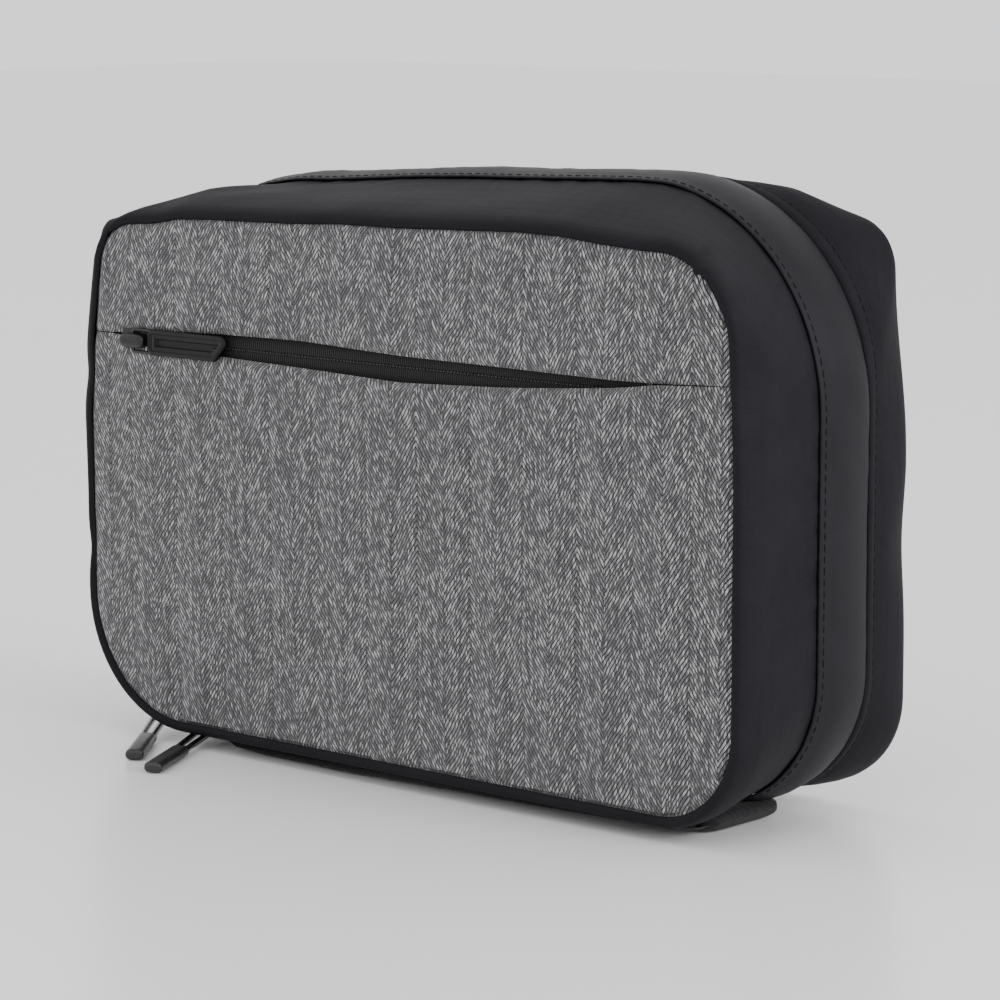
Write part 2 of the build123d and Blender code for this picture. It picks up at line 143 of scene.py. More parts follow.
class Finish:
    """One material: adds nodes, and ends in a Principled shader."""

    def __init__(self, name):
        self.material = bpy.data.materials.new(name)
        self.material.use_nodes = True
        self.tree = self.material.node_tree
        self.tree.nodes.clear()

    def add(self, kind, settings=None, sockets=None, output=0):
        node = self.tree.nodes.new(kind)
        for name, value in (settings or {}).items():
            if name == "stops":
                ramp = node.color_ramp.elements
                while len(ramp) < len(value):
                    ramp.new(1.0)
                for element, (place, colour) in zip(ramp, value):
                    element.position, element.color = place, (*colour, 1.0)
            else:
                setattr(node, name, value)
        for name, value in (sockets or {}).items():
            if isinstance(value, Signal):
                self.tree.links.new(value.socket, node.inputs[name])
            else:
                node.inputs[name].default_value = value
        return Signal(self, node.outputs[output]) if node.outputs else None

    def place(self):
        """x, y and z of the surface in the piece's own frame, in millimetres."""
        coordinates = self.add("ShaderNodeTexCoord", output="Object")
        scaled = self.add("ShaderNodeVectorMath", {"operation": "SCALE"},
                          {0: coordinates, "Scale": 1 / MM})
        return [self.add("ShaderNodeSeparateXYZ", None, {0: scaled}, axis) for axis in "XYZ"]

    def along(self, name="weave"):
        """The two lengths in a piece's own map, in millimetres."""
        lengths = self.add("ShaderNodeUVMap", {"uv_map": name})
        scaled = self.add("ShaderNodeVectorMath", {"operation": "SCALE"},
                          {0: lengths, "Scale": 1 / MM})
        return [self.add("ShaderNodeSeparateXYZ", None, {0: scaled}, axis) for axis in "XY"]

    def point(self, x=0.0, y=0.0, z=0.0):
        return self.add("ShaderNodeCombineXYZ", None, {"X": x, "Y": y, "Z": z})

    def noise(self, where, scale, detail=2.0, roughness=0.5):
        return self.add("ShaderNodeTexNoise", None, {
            "Vector": where, "Scale": scale, "Detail": detail, "Roughness": roughness}, "Fac")

    def scatter(self, where):
        """A random number for each whole-numbered place."""
        return self.add("ShaderNodeTexWhiteNoise", {"noise_dimensions": "3D"},
                        {"Vector": where}, "Value")

    def colours(self, share, first, second):
        """A colour between two, given as (r, g, b) or as a Signal."""
        pair = [c if isinstance(c, Signal) else (*c, 1.0) for c in (first, second)]
        return self.add("ShaderNodeMix", {"data_type": "RGBA"}, {0: share, 6: pair[0], 7: pair[1]}, 2)

    def bump(self, height, distance, strength=1.0):
        return self.add("ShaderNodeBump", None, {
            "Height": height, "Distance": distance * MM, "Strength": strength}, "Normal")

    def done(self, **sockets):
        names = {name.replace("_", " "): value for name, value in sockets.items()}
        fixed = {name: (*value, 1.0) if isinstance(value, tuple) and len(value) == 3 else value
                 for name, value in names.items()}
        shader = self.add("ShaderNodeBsdfPrincipled", None, fixed)
        self.add("ShaderNodeOutputMaterial", None, {"Surface": shader})
        print("finish", self.material.name, len(self.tree.nodes), "nodes")
        return self.material


# %% [markdown]
# The front is a woven wool-like cloth: a herringbone, whose slanted lines turn over at
# every column and make rows of chevrons. Light and dark yarns are mixed, so single lines
# range from light to nearly black, and a few short floats are painted nearly white as
# glints: a painted highlight. The middle of each yarn is painted a little lighter too, a
# painted highlight on its crown. An image would blur up close, so the weave is worked
# out from the position: the column number gives the slant, the slant gives a line
# number, and a random number for each stretch of a line gives its yarn and its glint.

# %% Herringbone cloth
def herringbone_cloth():
    cloth = Finish("herringbone_cloth")
    x, _, z = cloth.place()
    wander = cloth.noise(cloth.point(x, 0.0, z), 0.11, 1.0)
    x = x + (wander - 0.5) * 2.2
    column = (x / 9.65).floor()
    within = x / 9.65 - column
    turn = (column * 0.5).fract() * 4.0 - 1.0
    phase = z / 1.72 + (within - 0.5) * turn * 8.4 + cloth.scatter(cloth.point(column)) * 3.0
    line = phase.floor()
    ridge = ((phase - line) - 0.5).size().between(0.42, 0.28)
    warp = x / 0.44
    end = warp.floor()
    bulge = ((warp - end) - 0.5).size().between(0.5, 0.2)
    yarn = cloth.scatter(cloth.point(line, end, column))
    strand = cloth.scatter(cloth.point(end, column, 3.0))
    # painted highlight: the few floats with the highest yarn number turn nearly white, as glints
    float_glint = yarn * yarn
    float_glint = float_glint * float_glint * float_glint
    fibre = cloth.noise(cloth.point(x * 3.0, 0.0, z * 1.6), 1.6, 2.0, 0.6)
    broad = cloth.noise(cloth.point(x, 0.0, z * 0.6), 0.07, 3.0, 0.6)
    # bulge makes the middle of each warp yarn lighter: a painted highlight on its crown
    light = (ridge * (bulge * 0.18 + 0.42 + float_glint * 0.36 + (yarn - 0.5) * 0.24) + (fibre - 0.5) * 0.62
             + (strand - 0.5) * 0.10 + (broad - 0.5) * 0.12 + 0.08)
    turning = (within - 0.5).size().between(0.45, 0.5)
    light = light - turning * 0.08
    yarns = cloth.add("ShaderNodeValToRGB", {"stops": [
        (0.10, (0.003, 0.003, 0.004)), (0.34, (0.022, 0.022, 0.025)),
        (0.60, (0.090, 0.089, 0.094)), (0.95, (0.43, 0.43, 0.44))]}, {"Fac": light})
    _, edge = cloth.along("border")
    ragged = edge + (fibre - 0.5) * 1.2
    shadow = ragged.between(0.1, 1.5, 0.75, 0.0)
    height = ridge * (bulge * 0.3 + 0.5) + fibre * 0.5 + yarn * 0.2
    return cloth.done(
        Base_Color=cloth.colours(shadow, yarns, (0.008, 0.008, 0.009)),
        Roughness=0.92, Normal=cloth.bump(height, 0.35, 0.9),
        Sheen_Weight=0.25, Sheen_Roughness=0.5, Specular_IOR_Level=0.2)


# %% [markdown]
# The shell is thin black nylon with a coated face. A real ripstop has a grid of thicker
# threads every few millimetres, which only shows where light grazes it. Its black is
# never zero: dust and the weave lift it a little, and broad soft patches keep a large
# dark wall from looking like plastic.

# %% Shell nylon and other dark cloths
def woven(name, dark, light, thread=0.42, grid=5.2, roughness=0.5, map_name="weave",
          bump=0.06, patches=0.06, sheen=0.0, specular=0.2):
    """A fine plain weave, with a ripstop grid unless grid is 0, on a map or by position."""
    cloth = Finish(name)
    if map_name:
        u, v = cloth.along(map_name)
    else:                                   # a cup or panel: straight threads, by position
        x, y, z = cloth.place()
        u, v = x + y * 0.6, z + y * 0.8
    over = (u / thread).wave() * (v / thread).wave()
    strands = over * 0.5 + 0.5
    where = cloth.point(u, v, 0.0)
    cloudy = cloth.noise(where, patches, 4.0, 0.6)
    grain = cloth.noise(where, 2.6, 2.0, 0.6)
    raised = strands * 0.6 + grain * 0.5
    if grid:
        across = (u / grid).fract().between(0.05, 0.0) + (v / grid).fract().between(0.05, 0.0)
        raised = raised + across.least(1.0) * 1.1
    share = (strands * 0.25 + grain * 0.35 + (cloudy - 0.35) * 0.9).between(0.0, 1.0)
    return cloth.done(
        Base_Color=cloth.colours(share, dark, light),
        Roughness=(cloudy * 0.16 + grain * 0.10 + (roughness - 0.13)),
        Normal=cloth.bump(raised, bump, 0.8), Sheen_Weight=sheen, Sheen_Roughness=0.4,
        Specular_IOR_Level=specular)


def ribbed(name, dark, light, pitch=0.9, roughness=0.7, slant=0.0, specular=0.4):
    """A narrow fabric with ribs across it, such as elastic, tape or webbing."""
    tape = Finish(name)
    u, v = tape.along()
    rib = (u / pitch + v * slant).wave() * 0.5 + 0.5
    thread = (v / 0.5).wave() * 0.5 + 0.5
    fluff = tape.noise(tape.point(u, v, 0.0), 1.9, 3.0, 0.65)
    share = (rib * 0.35 + thread * 0.2 + fluff * 0.6 - 0.1).between(0.0, 1.0)
    return tape.done(
        Base_Color=tape.colours(share, dark, light), Roughness=fluff * 0.2 + (roughness - 0.1),
        Normal=tape.bump(rib + thread * 0.5 + fluff * 0.4, 0.16, 0.8),
        Sheen_Weight=0.1, Specular_IOR_Level=specular)


# %% [markdown]
# The hard pieces are small: painted zinc sliders, nylon coil, a rubber tab, a moulded
# sleeve and the thread of the stitches. Each gets the marks its making leaves: a fine
# orange peel on paint with wear on its bumps, a satin mould grain, a twist on thread.

# %% Hard and small finishes
def moulded(name, dark, light, grain=3.0, depth=0.03, roughness=0.5, metallic=0.0, coat=0.0,
            specular=0.5):
    """A hard surface with a fine grain and a few scuffs, in the piece's own frame."""
    part = Finish(name)
    x, y, z = part.place()
    where = part.point(x, y, z)
    fine = part.noise(where, grain, 3.0, 0.6)
    scuff = part.noise(part.point(x, y * 0.6, z * 1.7), 0.9, 4.0, 0.75).between(0.52, 0.72)
    return part.done(
        Base_Color=part.colours(scuff * 0.6 + fine * 0.25, dark, light),
        Roughness=fine * 0.12 + scuff * 0.12 + (roughness - 0.08), Metallic=metallic,
        Normal=part.bump(fine, depth, 0.7), Coat_Weight=coat, Coat_Roughness=0.15,
        Specular_IOR_Level=specular)


def open_mesh():
    """Knitted net: round holes in staggered rows, cut with alpha."""
    net = Finish("knitted_net")
    u, v = net.along()
    row = (v / 1.6).floor()
    shift = (row * 0.5).fract()
    across = (u / 1.9 + shift).fract() - 0.5
    up = (v / 1.6).fract() - 0.5
    hole = (across * across + up * up * 0.8).between(0.075, 0.10, 1.0, 0.0)
    fluff = net.noise(net.point(u, v, 0.0), 3.0)
    return net.done(
        Base_Color=net.colours(fluff, (0.008, 0.008, 0.009), (0.03, 0.03, 0.033)),
        Roughness=fluff * 0.2 + 0.55, Normal=net.bump(fluff - hole, 0.15), Alpha=1 - hole)


def foam_block():
    """Grey open-cell foam."""
    foam = Finish("open_cell_foam")
    x, y, z = foam.place()
    cells = foam.add("ShaderNodeTexVoronoi", None, {"Vector": foam.point(x, y, z), "Scale": 1.6},
                     "Distance")
    soft = foam.noise(foam.point(x, y, z), 0.3)
    return foam.done(
        Base_Color=foam.colours(cells.between(0.0, 0.7) * 0.7 + soft * 0.3,
                                (0.10, 0.10, 0.105), (0.30, 0.30, 0.31)),
        Roughness=soft * 0.1 + 0.88, Normal=foam.bump(cells, 0.3))


# %% The set of finishes
finish = {
    "herringbone": herringbone_cloth(),
    "shell": woven("shell_nylon_cloth", (0.0070, 0.0066, 0.0086), (0.0150, 0.0142, 0.0182), roughness=0.60,
                   specular=0.08),
    "flap": woven("flap_nylon_cloth", (0.0072, 0.0068, 0.0088), (0.0155, 0.0147, 0.0187), grid=0,
                  thread=0.9, roughness=0.50, bump=0.09, specular=0.12),
    "lining": woven("lining_cloth", (0.045, 0.045, 0.050), (0.115, 0.115, 0.125), thread=0.55, grid=0,
                    roughness=0.62, bump=0.08, map_name=None),
    "back": woven("back_nylon_cloth", (0.0070, 0.0066, 0.0086), (0.0150, 0.0142, 0.0182), roughness=0.60,
                  specular=0.08, map_name=None),
    "tape": ribbed("zip_tape_weave", (0.0022, 0.0022, 0.0027), (0.0075, 0.0075, 0.0085), pitch=0.8,
                   specular=0.2),
    "binding": ribbed("binding_tape", (0.008, 0.008, 0.009), (0.030, 0.030, 0.033), pitch=0.6),
    "elastic": ribbed("elastic_weave", (0.008, 0.008, 0.009), (0.034, 0.034, 0.037), pitch=1.3),
    "webbing": ribbed("strap_webbing", (0.004, 0.004, 0.005), (0.015, 0.015, 0.017), pitch=1.6,
                      slant=0.35, roughness=0.65, specular=0.2),
    "net": open_mesh(),
    "foam": foam_block(),
    "coil": moulded("zip_coil_nylon", (0.004, 0.004, 0.0045), (0.020, 0.020, 0.021), roughness=0.42),
    # the same black nylon as the coil, made light grey: a painted highlight on the teeth
    "teeth": moulded("zip_teeth_painted_glint", (0.05, 0.05, 0.052), (0.16, 0.16, 0.165), roughness=0.3),
    "paint": moulded("slider_black_paint", (0.002, 0.002, 0.0025), (0.010, 0.010, 0.011), grain=5.0,
                     depth=0.02, roughness=0.34, coat=0.12, specular=0.35),
    "rubber": moulded("pull_tab_rubber", (0.0018, 0.0018, 0.0022), (0.006, 0.006, 0.0068), grain=4.0,
                      depth=0.04, roughness=0.45, specular=0.25),
    "sleeve": moulded("sleeve_moulding", (0.0035, 0.0035, 0.004), (0.013, 0.013, 0.014), grain=4.0,
                      depth=0.04, roughness=0.40, coat=0.15),
    "cord": moulded("waxed_cord", (0.004, 0.004, 0.0045), (0.020, 0.020, 0.021), grain=2.5,
                    depth=0.05, roughness=0.20, coat=0.6),
    "thread": moulded("stitch_thread", (0.0035, 0.0035, 0.004), (0.010, 0.010, 0.011), grain=6.0,
                      depth=0.05, roughness=0.7, specular=0.15),
    "hook": moulded("hook_and_loop", (0.007, 0.007, 0.008), (0.040, 0.040, 0.043), grain=2.8,
                    depth=0.7, roughness=0.85),
}
print("finishes", len(finish))

# %% [markdown]
# Soft walls here all follow one outline: a rounded rectangle that grows from the front
# seam to the waist and shrinks again to the back. So one function gives the outline at
# any depth, and a piece is a list of rings on it. Each ring has a depth, an outset from
# the skin and a shrink, which pulls it in to the middle to close a panel. Extruding a
# curve would do for a tin box, but it couldn't roll over a seam or swell between seams.

# %% Outline and rings
# depth, left, right, low, high, the corner radii (bottom right, top right, top left, bottom
# left), and how far the left and the right side lean in at the top
SKIN = np.array([
    (0.0, -124.9, 120.7, 5.8, 158.5, 26.0, 24.0, 13.0, 38.0, 5.0, 2.6),
    (32.0, -123.6, 123.6, 5.0, 171.0, 38.0, 58.0, 60.0, 38.0, 0.0, 0.0),
    (53.2, -123.6, 123.6, 5.0, 171.0, 38.0, 58.0, 60.0, 38.0, 0.0, 0.0),
    (72.0, -123.0, 123.4, 7.0, 167.0, 25.0, 12.0, 18.0, 28.0, 4.5, 4.9),
])
# how the top edge sags and swells along x, at the front seam and from the waist back
TOP_X = [-124, -101, -90, -75, -55, -39, -20, 0, 20, 45, 60, 75, 90, 124]
TOP_FRONT = [-4.0, -2.6, -0.9, -0.3, 0.0, 0.3, 1.2, 1.2, 1.8, 2.5, 2.2, 0.9, 0.0, -0.5]
TOP_WAIST = [-1.0, -2.1, -2.5, -4.0, -3.4, -2.3, -1.0, -0.1, 0.4, 1.2, 1.6, 1.5, 0.9, 0]
COUNTS = (72, 18, 40, 24, 72, 24, 40, 18)   # points on the bottom, right corner, right side, and so on
AROUND = np.concatenate([n + np.arange(count) / count for n, count in enumerate(COUNTS)])


def smooth(value, low, high):
    """0 below low, 1 above high, and smooth between."""
    share = np.clip((value - low) / (high - low), 0, 1)
    return share * share * (3 - 2 * share)


def skin_sizes(depth):
    return [float(np.interp(depth, SKIN[:, 0], SKIN[:, n])) for n in range(1, 11)]


def slump(x, z, depth):
    """Moves the even outline to where the soft, filled bag really lies."""
    lean_left, lean_right = skin_sizes(depth)[8:]
    high = smooth(z, 104.0, 150.0) * 0.5 + np.clip((z - 96.0) / 58.0, 0, 1) * 0.5
    leant = x + high * np.where(x < 0, lean_left, -lean_right) * smooth(np.abs(x), 60.0, 110.0)
    back = smooth(depth, 8.0, 32.0)
    rise = (np.interp(x, TOP_X, TOP_FRONT) * smooth(z, 132.0, 158.0) * (1 - back)
            + np.interp(x, TOP_X, TOP_WAIST) * smooth(z, 95.0, 130.0) * back)
    droop = -4.5 * smooth(depth, 58.0, 72.0) * smooth(np.abs(x), 84.0, 108.0) * high
    return leant, z + rise + droop


def outline(depth, outset, around):
    """x and z of the skin at a depth, pushed out by outset, for places counted round it."""
    left, right, low, high, *radii = skin_sizes(depth)[:8]
    middles = [(right - radii[0], low + radii[0]), (right - radii[1], high - radii[1]),
               (left + radii[2], high - radii[2]), (left + radii[3], low + radii[3])]
    x, z = np.zeros(len(around)), np.zeros(len(around))
    outset = np.broadcast_to(outset, len(around))
    for n in range(4):
        share = around % 8 - 2 * n
        corner, before, after = middles[n], middles[n - 1], -90 + 90 * n
        angle = np.radians(after + 90 * np.clip(share - 1, 0, 1))
        on_arc = (share >= 1) & (share < 2)
        x[on_arc] = (corner[0] + (radii[n] + outset) * np.cos(angle))[on_arc]
        z[on_arc] = (corner[1] + (radii[n] + outset) * np.sin(angle))[on_arc]
        on_line = (share >= 0) & (share < 1)
        normal = (math.cos(math.radians(after)), math.sin(math.radians(after)))
        start = [before[k] + radii[n - 1] * normal[k] for k in (0, 1)]
        end = [corner[k] + radii[n] * normal[k] for k in (0, 1)]
        x[on_line] = (start[0] + (end[0] - start[0]) * share + outset * normal[0])[on_line]
        z[on_line] = (start[1] + (end[1] - start[1]) * share + outset * normal[1])[on_line]
    return slump(x, z, depth)


def lengths_along(points):
    """Running length along a row of points."""
    steps = np.linalg.norm(np.diff(points, axis=0), axis=-1)
    return np.concatenate([np.zeros((1, *steps.shape[1:])), np.cumsum(steps, axis=0)])


def ripples(u, v, length, seed, stretch=1.0):
    """Smooth uneven waves, about -1 to 1, from a few crossing sine waves."""
    chance = np.random.default_rng(seed)
    total = np.zeros(np.broadcast(u, v).shape)
    for _ in range(9):
        way, shift, size = chance.uniform(0, math.pi), chance.uniform(0, 6.3), chance.uniform(0.7, 1.6)
        total = total + np.sin((u * math.cos(way) / stretch + v * math.sin(way)) * 2 * math.pi
                               / (length * size) + shift)
    return total / 4.5


def mesh_piece(name, points, faces, material, corner_maps=None, shade=True):
    """A mesh object from points in millimetres; corner_maps holds one length pair per face corner."""
    mesh = bpy.data.meshes.new(name)
    mesh.from_pydata((np.asarray(points) * MM).tolist(), [], faces)
    for map_name, values in (corner_maps or {}).items():
        layer = mesh.uv_layers.new(name=map_name)
        layer.data.foreach_set("uv", (np.asarray(values) * MM).astype(np.float32).ravel())
    mesh.polygons.foreach_set("use_smooth", [shade] * len(mesh.polygons))
    mesh.materials.append(material)
    piece = bpy.data.objects.new(name, mesh)
    bpy.context.scene.collection.objects.link(piece)
    mesh.validate()
    return piece


def sheet_piece(name, grid, material, closed=(False, False), maps=None):
    """A mesh from a grid of points; maps are grids of length pairs, one longer where it closes."""
    grid = np.asarray(grid, float)
    rows, columns = grid.shape[:2]
    a, b = np.meshgrid(np.arange(rows - (not closed[0])), np.arange(columns - (not closed[1])),
                       indexing="ij")
    corners = [(a, b), (a + 1, b), (a + 1, b + 1), (a, b + 1)]
    faces = np.stack([(p % rows) * columns + q % columns for p, q in corners], -1).reshape(-1, 4)
    if maps is None:
        wrapped = np.concatenate([grid, grid[:1]]) if closed[0] else grid
        wrapped = np.concatenate([wrapped, wrapped[:, :1]], 1) if closed[1] else wrapped
        maps = {"weave": np.stack([lengths_along(wrapped),
                                   lengths_along(wrapped.swapaxes(0, 1)).swapaxes(0, 1)], -1)}
    corner_maps = {key: np.stack([value[p, q] for p, q in corners], 2).reshape(-1, 2)
                   for key, value in maps.items()}
    return mesh_piece(name, grid.reshape(-1, 3), faces.tolist(), material, corner_maps)


def rings(name, rows, material, around=AROUND, bulge=None, closed_rows=True):
    """A piece from rows of (depth, outset, shrink) on the outline, swollen by bulge(length, depth)."""
    whole = len(around) == len(AROUND)
    reference = np.stack(outline(30.0, 0.0, around), -1)
    length = lengths_along(reference)
    grid = []
    for depth, outset, shrink in rows:
        swell = 0.0 if bulge is None else bulge(length, depth)
        x, z = outline(max(depth, 0.0), outset + swell, around)
        middle = sum(skin_sizes(depth)[2:4]) / 2
        grid.append(np.stack([x * shrink, np.full(len(x), FRONT + depth),
                              middle + (z - middle) * shrink], -1))
    return sheet_piece(name, np.stack(grid, 1), material, (whole, closed_rows))


print("outline at the waist", [round(float(v), 1) for v in outline(40.0, 0.0, np.array([2.5, 6.5]))[0]])

# %% [markdown]
# Sewing shows as rows of small stitches that press into the cloth. Each stitch is a thin
# swollen capsule, and a whole row is one mesh. Curves with a bevel would be shorter to
# write, but hundreds of separate splines are slow, so the capsule is copied in numpy.

# %% Tubes, capsules and stitch rows
def tube_points(path, radius, sides=8, squash=(1.0, 1.0), up=(0, 0, 1)):
    """Rings of points round a path: a grid, path by sides."""
    path = np.asarray(path, float)
    forward = np.gradient(path, axis=0)
    forward /= np.linalg.norm(forward, axis=1)[:, None]
    side = np.cross(forward, np.asarray(up, float))
    side /= np.maximum(np.linalg.norm(side, axis=1), 1e-9)[:, None]
    top = np.cross(side, forward)
    turn = np.arange(sides) * 2 * math.pi / sides
    radius = np.broadcast_to(radius, len(path))[:, None, None]
    return path[:, None] + radius * (np.cos(turn)[None, :, None] * side[:, None] * squash[0]
                                     + np.sin(turn)[None, :, None] * top[:, None] * squash[1])


def stitch_row(name, path, outwards, body, pitch=3.1, stitch=2.3, radius=0.17, lift=0.0,
               coat="thread"):
    """Stitches along a path; outwards is one direction per point of the path."""
    path, outwards = np.asarray(path, float), np.asarray(outwards, float)
    length = lengths_along(path)
    starts = np.arange(pitch / 2, length[-1] - stitch, pitch)
    swell = np.array([0.35, 0.9, 1.0, 1.0, 0.9, 0.35])
    points, faces, sides = [], [], 6
    for start in starts:
        at = start + stitch * np.array([0.0, 0.12, 0.35, 0.65, 0.88, 1.0])
        line = np.stack([np.interp(at, length, path[:, k]) for k in range(3)], -1)
        out = np.stack([np.interp(at, length, outwards[:, k]) for k in range(3)], -1)
        line = line + out * (lift - 0.30 * (1 - swell))[:, None]
        rim = tube_points(line, radius * swell, sides, up=out[2])
        base = sum(len(p) for p in points)
        points.append(rim.reshape(-1, 3))
        faces += [[base + r * sides + s, base + (r + 1) * sides + s,
                   base + (r + 1) * sides + (s + 1) % sides, base + r * sides + (s + 1) % sides]
                  for r in range(5) for s in range(sides)]
        faces += [[base + s for s in range(sides)], [base + 5 * sides + s for s in range(sides)][::-1]]
    piece = mesh_piece(name, np.concatenate(points), faces, finish[coat])
    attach(piece, body)
    print(name, len(starts), "stitches")
    return piece


def skin_line(depth, outset, around):
    """A line on the skin and its outward directions, for stitches."""
    x, z = outline(depth, outset, around)
    outer = outline(depth, outset + 1.0, around)
    line = np.stack([x, np.full(len(x), FRONT + depth), z], -1)
    return line, np.stack([outer[0] - x, np.zeros(len(x)), outer[1] - z], -1)


# %% [markdown]
# Two pull cords hang from the zip sliders at the bottom left corner. Each is a doubled
# cord of about 130 to 145 mm, hooked round the slider's wire and gripped at its other end
# by a moulded sleeve that lies on the table. A NURBS curve with a round bevel is used,
# because it turns smoothly from few points, which is how a waxed cord lies.

# %% Pull cords
def pull_cord(name, points, length, body):
    curve = bpy.data.curves.new(name, "CURVE")
    curve.dimensions = "3D"
    curve.bevel_depth, curve.bevel_resolution, curve.resolution_u = 0.95 * MM, 5, 10
    curve.use_fill_caps = True
    line = curve.splines.new("NURBS")
    line.points.add(len(points) - 1)
    for point, place in zip(line.points, points):
        point.co = (*place, 1.0)
    line.order_u, line.use_endpoint_u = 3, True
    curve.materials.append(finish["cord"])
    piece = bpy.data.objects.new(name + "_line", curve)
    bpy.context.scene.collection.objects.link(piece)
    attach(piece, body)
    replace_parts(piece, name)
    print(name, "declared", length, "m")


pull_cord("pull_cord_a", [
    (-0.0944, -0.0444, 0.0017), (-0.1031, -0.0335, 0.0030), (-0.1099, -0.0218, 0.0051),
    (-0.1145, -0.0100, 0.0078), (-0.1175, 0.0008, 0.0106), (-0.1190, 0.0086, 0.0125),
    (-0.11885, 0.0134, 0.0132), (-0.11485, 0.0134, 0.0132), (-0.1146, 0.0090, 0.0125),
    (-0.1133, 0.0016, 0.0106), (-0.1107, -0.0088, 0.0078), (-0.1065, -0.0202, 0.0051),
    (-0.1001, -0.0316, 0.0030), (-0.0921, -0.0426, 0.0017)], 0.1303, "main_slider_a")
pull_cord("pull_cord_b", [
    (-0.0755, -0.0506, 0.0017), (-0.0818, -0.0390, 0.0021), (-0.0883, -0.0270, 0.0026),
    (-0.0949, -0.0147, 0.0031), (-0.1012, -0.0030, 0.0036), (-0.1062, 0.0064, 0.0041),
    (-0.1077, 0.0125, 0.00435), (-0.1035, 0.0141, 0.00435), (-0.1015, 0.0086, 0.0041),
    (-0.0964, -0.0007, 0.0036), (-0.0906, -0.0124, 0.0031), (-0.0846, -0.0251, 0.0026),
    (-0.0786, -0.0374, 0.0021), (-0.0729, -0.0493, 0.0017)], 0.1444, "main_slider_b")

# %% [markdown]
# The shell is a band of nylon round the bag. At the front it rolls over the seam and
# stands about 2 mm proud of the cloth panel, then it swells and falls to a valley where
# the zip's flap is stitched on. Thin cloth over nothing hard is never flat, so the band
# gets long shallow waves that die away at the seams, and small puckers where a row of
# stitches gathers it.

# %% Tray gusset
def place_on(around):
    """Length along the outline up to a place counted round it."""
    return float(np.interp(around, AROUND, lengths_along(np.stack(outline(30.0, 0.0, AROUND), -1))))


def tray_wrinkles(length, depth):
    calm = smooth(depth, 1.0, 9.0) * smooth(-depth, -31.5, -22.0)
    wide = ripples(length, depth, 46.0, 3, 1.6) * 0.55 + ripples(length, depth, 19.0, 8, 1.2) * 0.16
    pucker = np.sin(length * 2 * math.pi / 3.1) * 0.07 * smooth(depth, 27.0, 31.5)
    gathers = ripples(length, depth * 0.5, 7.5, 21) * 0.12 * smooth(depth, 22.0, 31.0)
    rim = smooth(-depth, -14.0, -1.0)
    ear = sum(size * np.exp(-((length - place_on(place)) / width) ** 2)
              for place, size, width in ((5.5, 2.4, 11.0), (6.3, 2.3, 24.0)))
    ear = ear * smooth(depth, -0.3, 1.6) * smooth(-depth, -16.0, -3.0)
    folds = sum(-size * np.exp(-((length - place_on(place)) / width) ** 2) * rim
                for place, size, width in ((6.36, 1.2, 4.0), (6.88, 1.0, 3.5), (3.62, 1.5, 1.5)))
    return wide * calm + pucker + gathers + ear + folds


gusset_out = [(0.5, -1.35), (0.3, -1.05), (-0.05, -0.5), (-0.25, 0.25), (-0.1, 1.0), (0.7, 1.65),
              (2.2, 2.0), (4.5, 2.15), (8.0, 2.1), (12.0, 1.8), (16.0, 1.45), (20.0, 1.05), (24.0, 0.65),
              (27.5, 0.3), (30.0, 0.0), (31.5, -0.15), (33.5, -0.1), (38.0, -0.1), (43.4, -0.15)]
gusset_in = [(43.4, -1.15), (36.0, -1.2), (28.0, -1.2), (20.0, -0.6), (12.0, 0.2), (6.0, 0.4),
             (2.4, 0.0), (1.9, -0.9), (1.7, -1.4)]
gusset = rings("front_gusset_cloth", [(*row, 1.0) for row in gusset_out + gusset_in], finish["shell"],
               bulge=tray_wrinkles)
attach(gusset, "tray")
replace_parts(gusset, "front_gusset")
print("gusset", len(gusset.data.vertices), "points")

# %% [markdown]
# A second, coated band covers the zip: the flap. It is sewn down along its front edge,
# laps over the chain and ends in a folded edge just before the lid. It stops short at
# the bottom, where the two sliders park. Its crown catches the light, so its profile is
# a low arch rather than a flat strip.

# %% Zip flap
flap_around = np.concatenate([np.linspace(1.22, 2, 22), AROUND[(AROUND > 2) & (AROUND < 6)],
                              np.linspace(6, 6.96, 40)])


def flap_wrinkles(length, depth):
    slanted = ripples(length + depth * 1.4, depth * 0.4, 9.0, 5) * 0.10
    broad = ripples(length, depth * 0.5, 40.0, 12) * 0.18
    pucker = np.sin(length * 2 * math.pi / 3.1) * 0.06 * smooth(-depth, -35.5, -32.0)
    return (slanted + broad) * smooth(depth, 32.5, 37.0) + pucker


flap_out = [(32.0, 0.15), (31.5, 0.35), (31.7, 0.75), (32.6, 0.95), (34.0, 1.05), (36.5, 1.7), (39.5, 2.2),
            (43.0, 2.4), (46.5, 2.3), (49.5, 1.95), (51.3, 1.55), (52.1, 1.1), (52.1, 0.6), (51.5, 0.35)]
flap_in = [(49.5, 0.75), (46.5, 1.1), (43.0, 1.2), (39.5, 1.0), (36.5, 0.55), (34.0, 0.2)]
flap = rings("zip_flap_cloth", [(*row, 1.0) for row in flap_out + flap_in], finish["flap"],
             flap_around, flap_wrinkles)
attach(flap, "tray")
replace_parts(flap, "zip_flap")
stitch_row("flap_stitches", *skin_line(33.3, 1.05, flap_around), "tray", lift=0.02)
print("flap", len(flap.data.vertices), "points")

# %% [markdown]
# The lid is a shallow tray of the same nylon. Its front edge is folded into a narrow
# ridge with a topstitched row just behind, and its back rolls into the rear panel, which
# is softly padded by the foam sheet under it.

# %% Lid gusset and rear panel
def lid_wrinkles(length, depth):
    calm = smooth(depth, 57.0, 60.0) * smooth(-depth, -71.5, -68.0)
    pucker = np.sin(length * 2 * math.pi / 3.1) * 0.06 * smooth(-abs(depth - 56.4), -1.5, 0.0)
    dent = -1.3 * np.exp(-((length - place_on(2.36)) / 9.0) ** 2) * smooth(depth, 60.0, 70.0)
    return ripples(length, depth, 38.0, 31, 1.5) * 0.35 * calm + pucker + dent


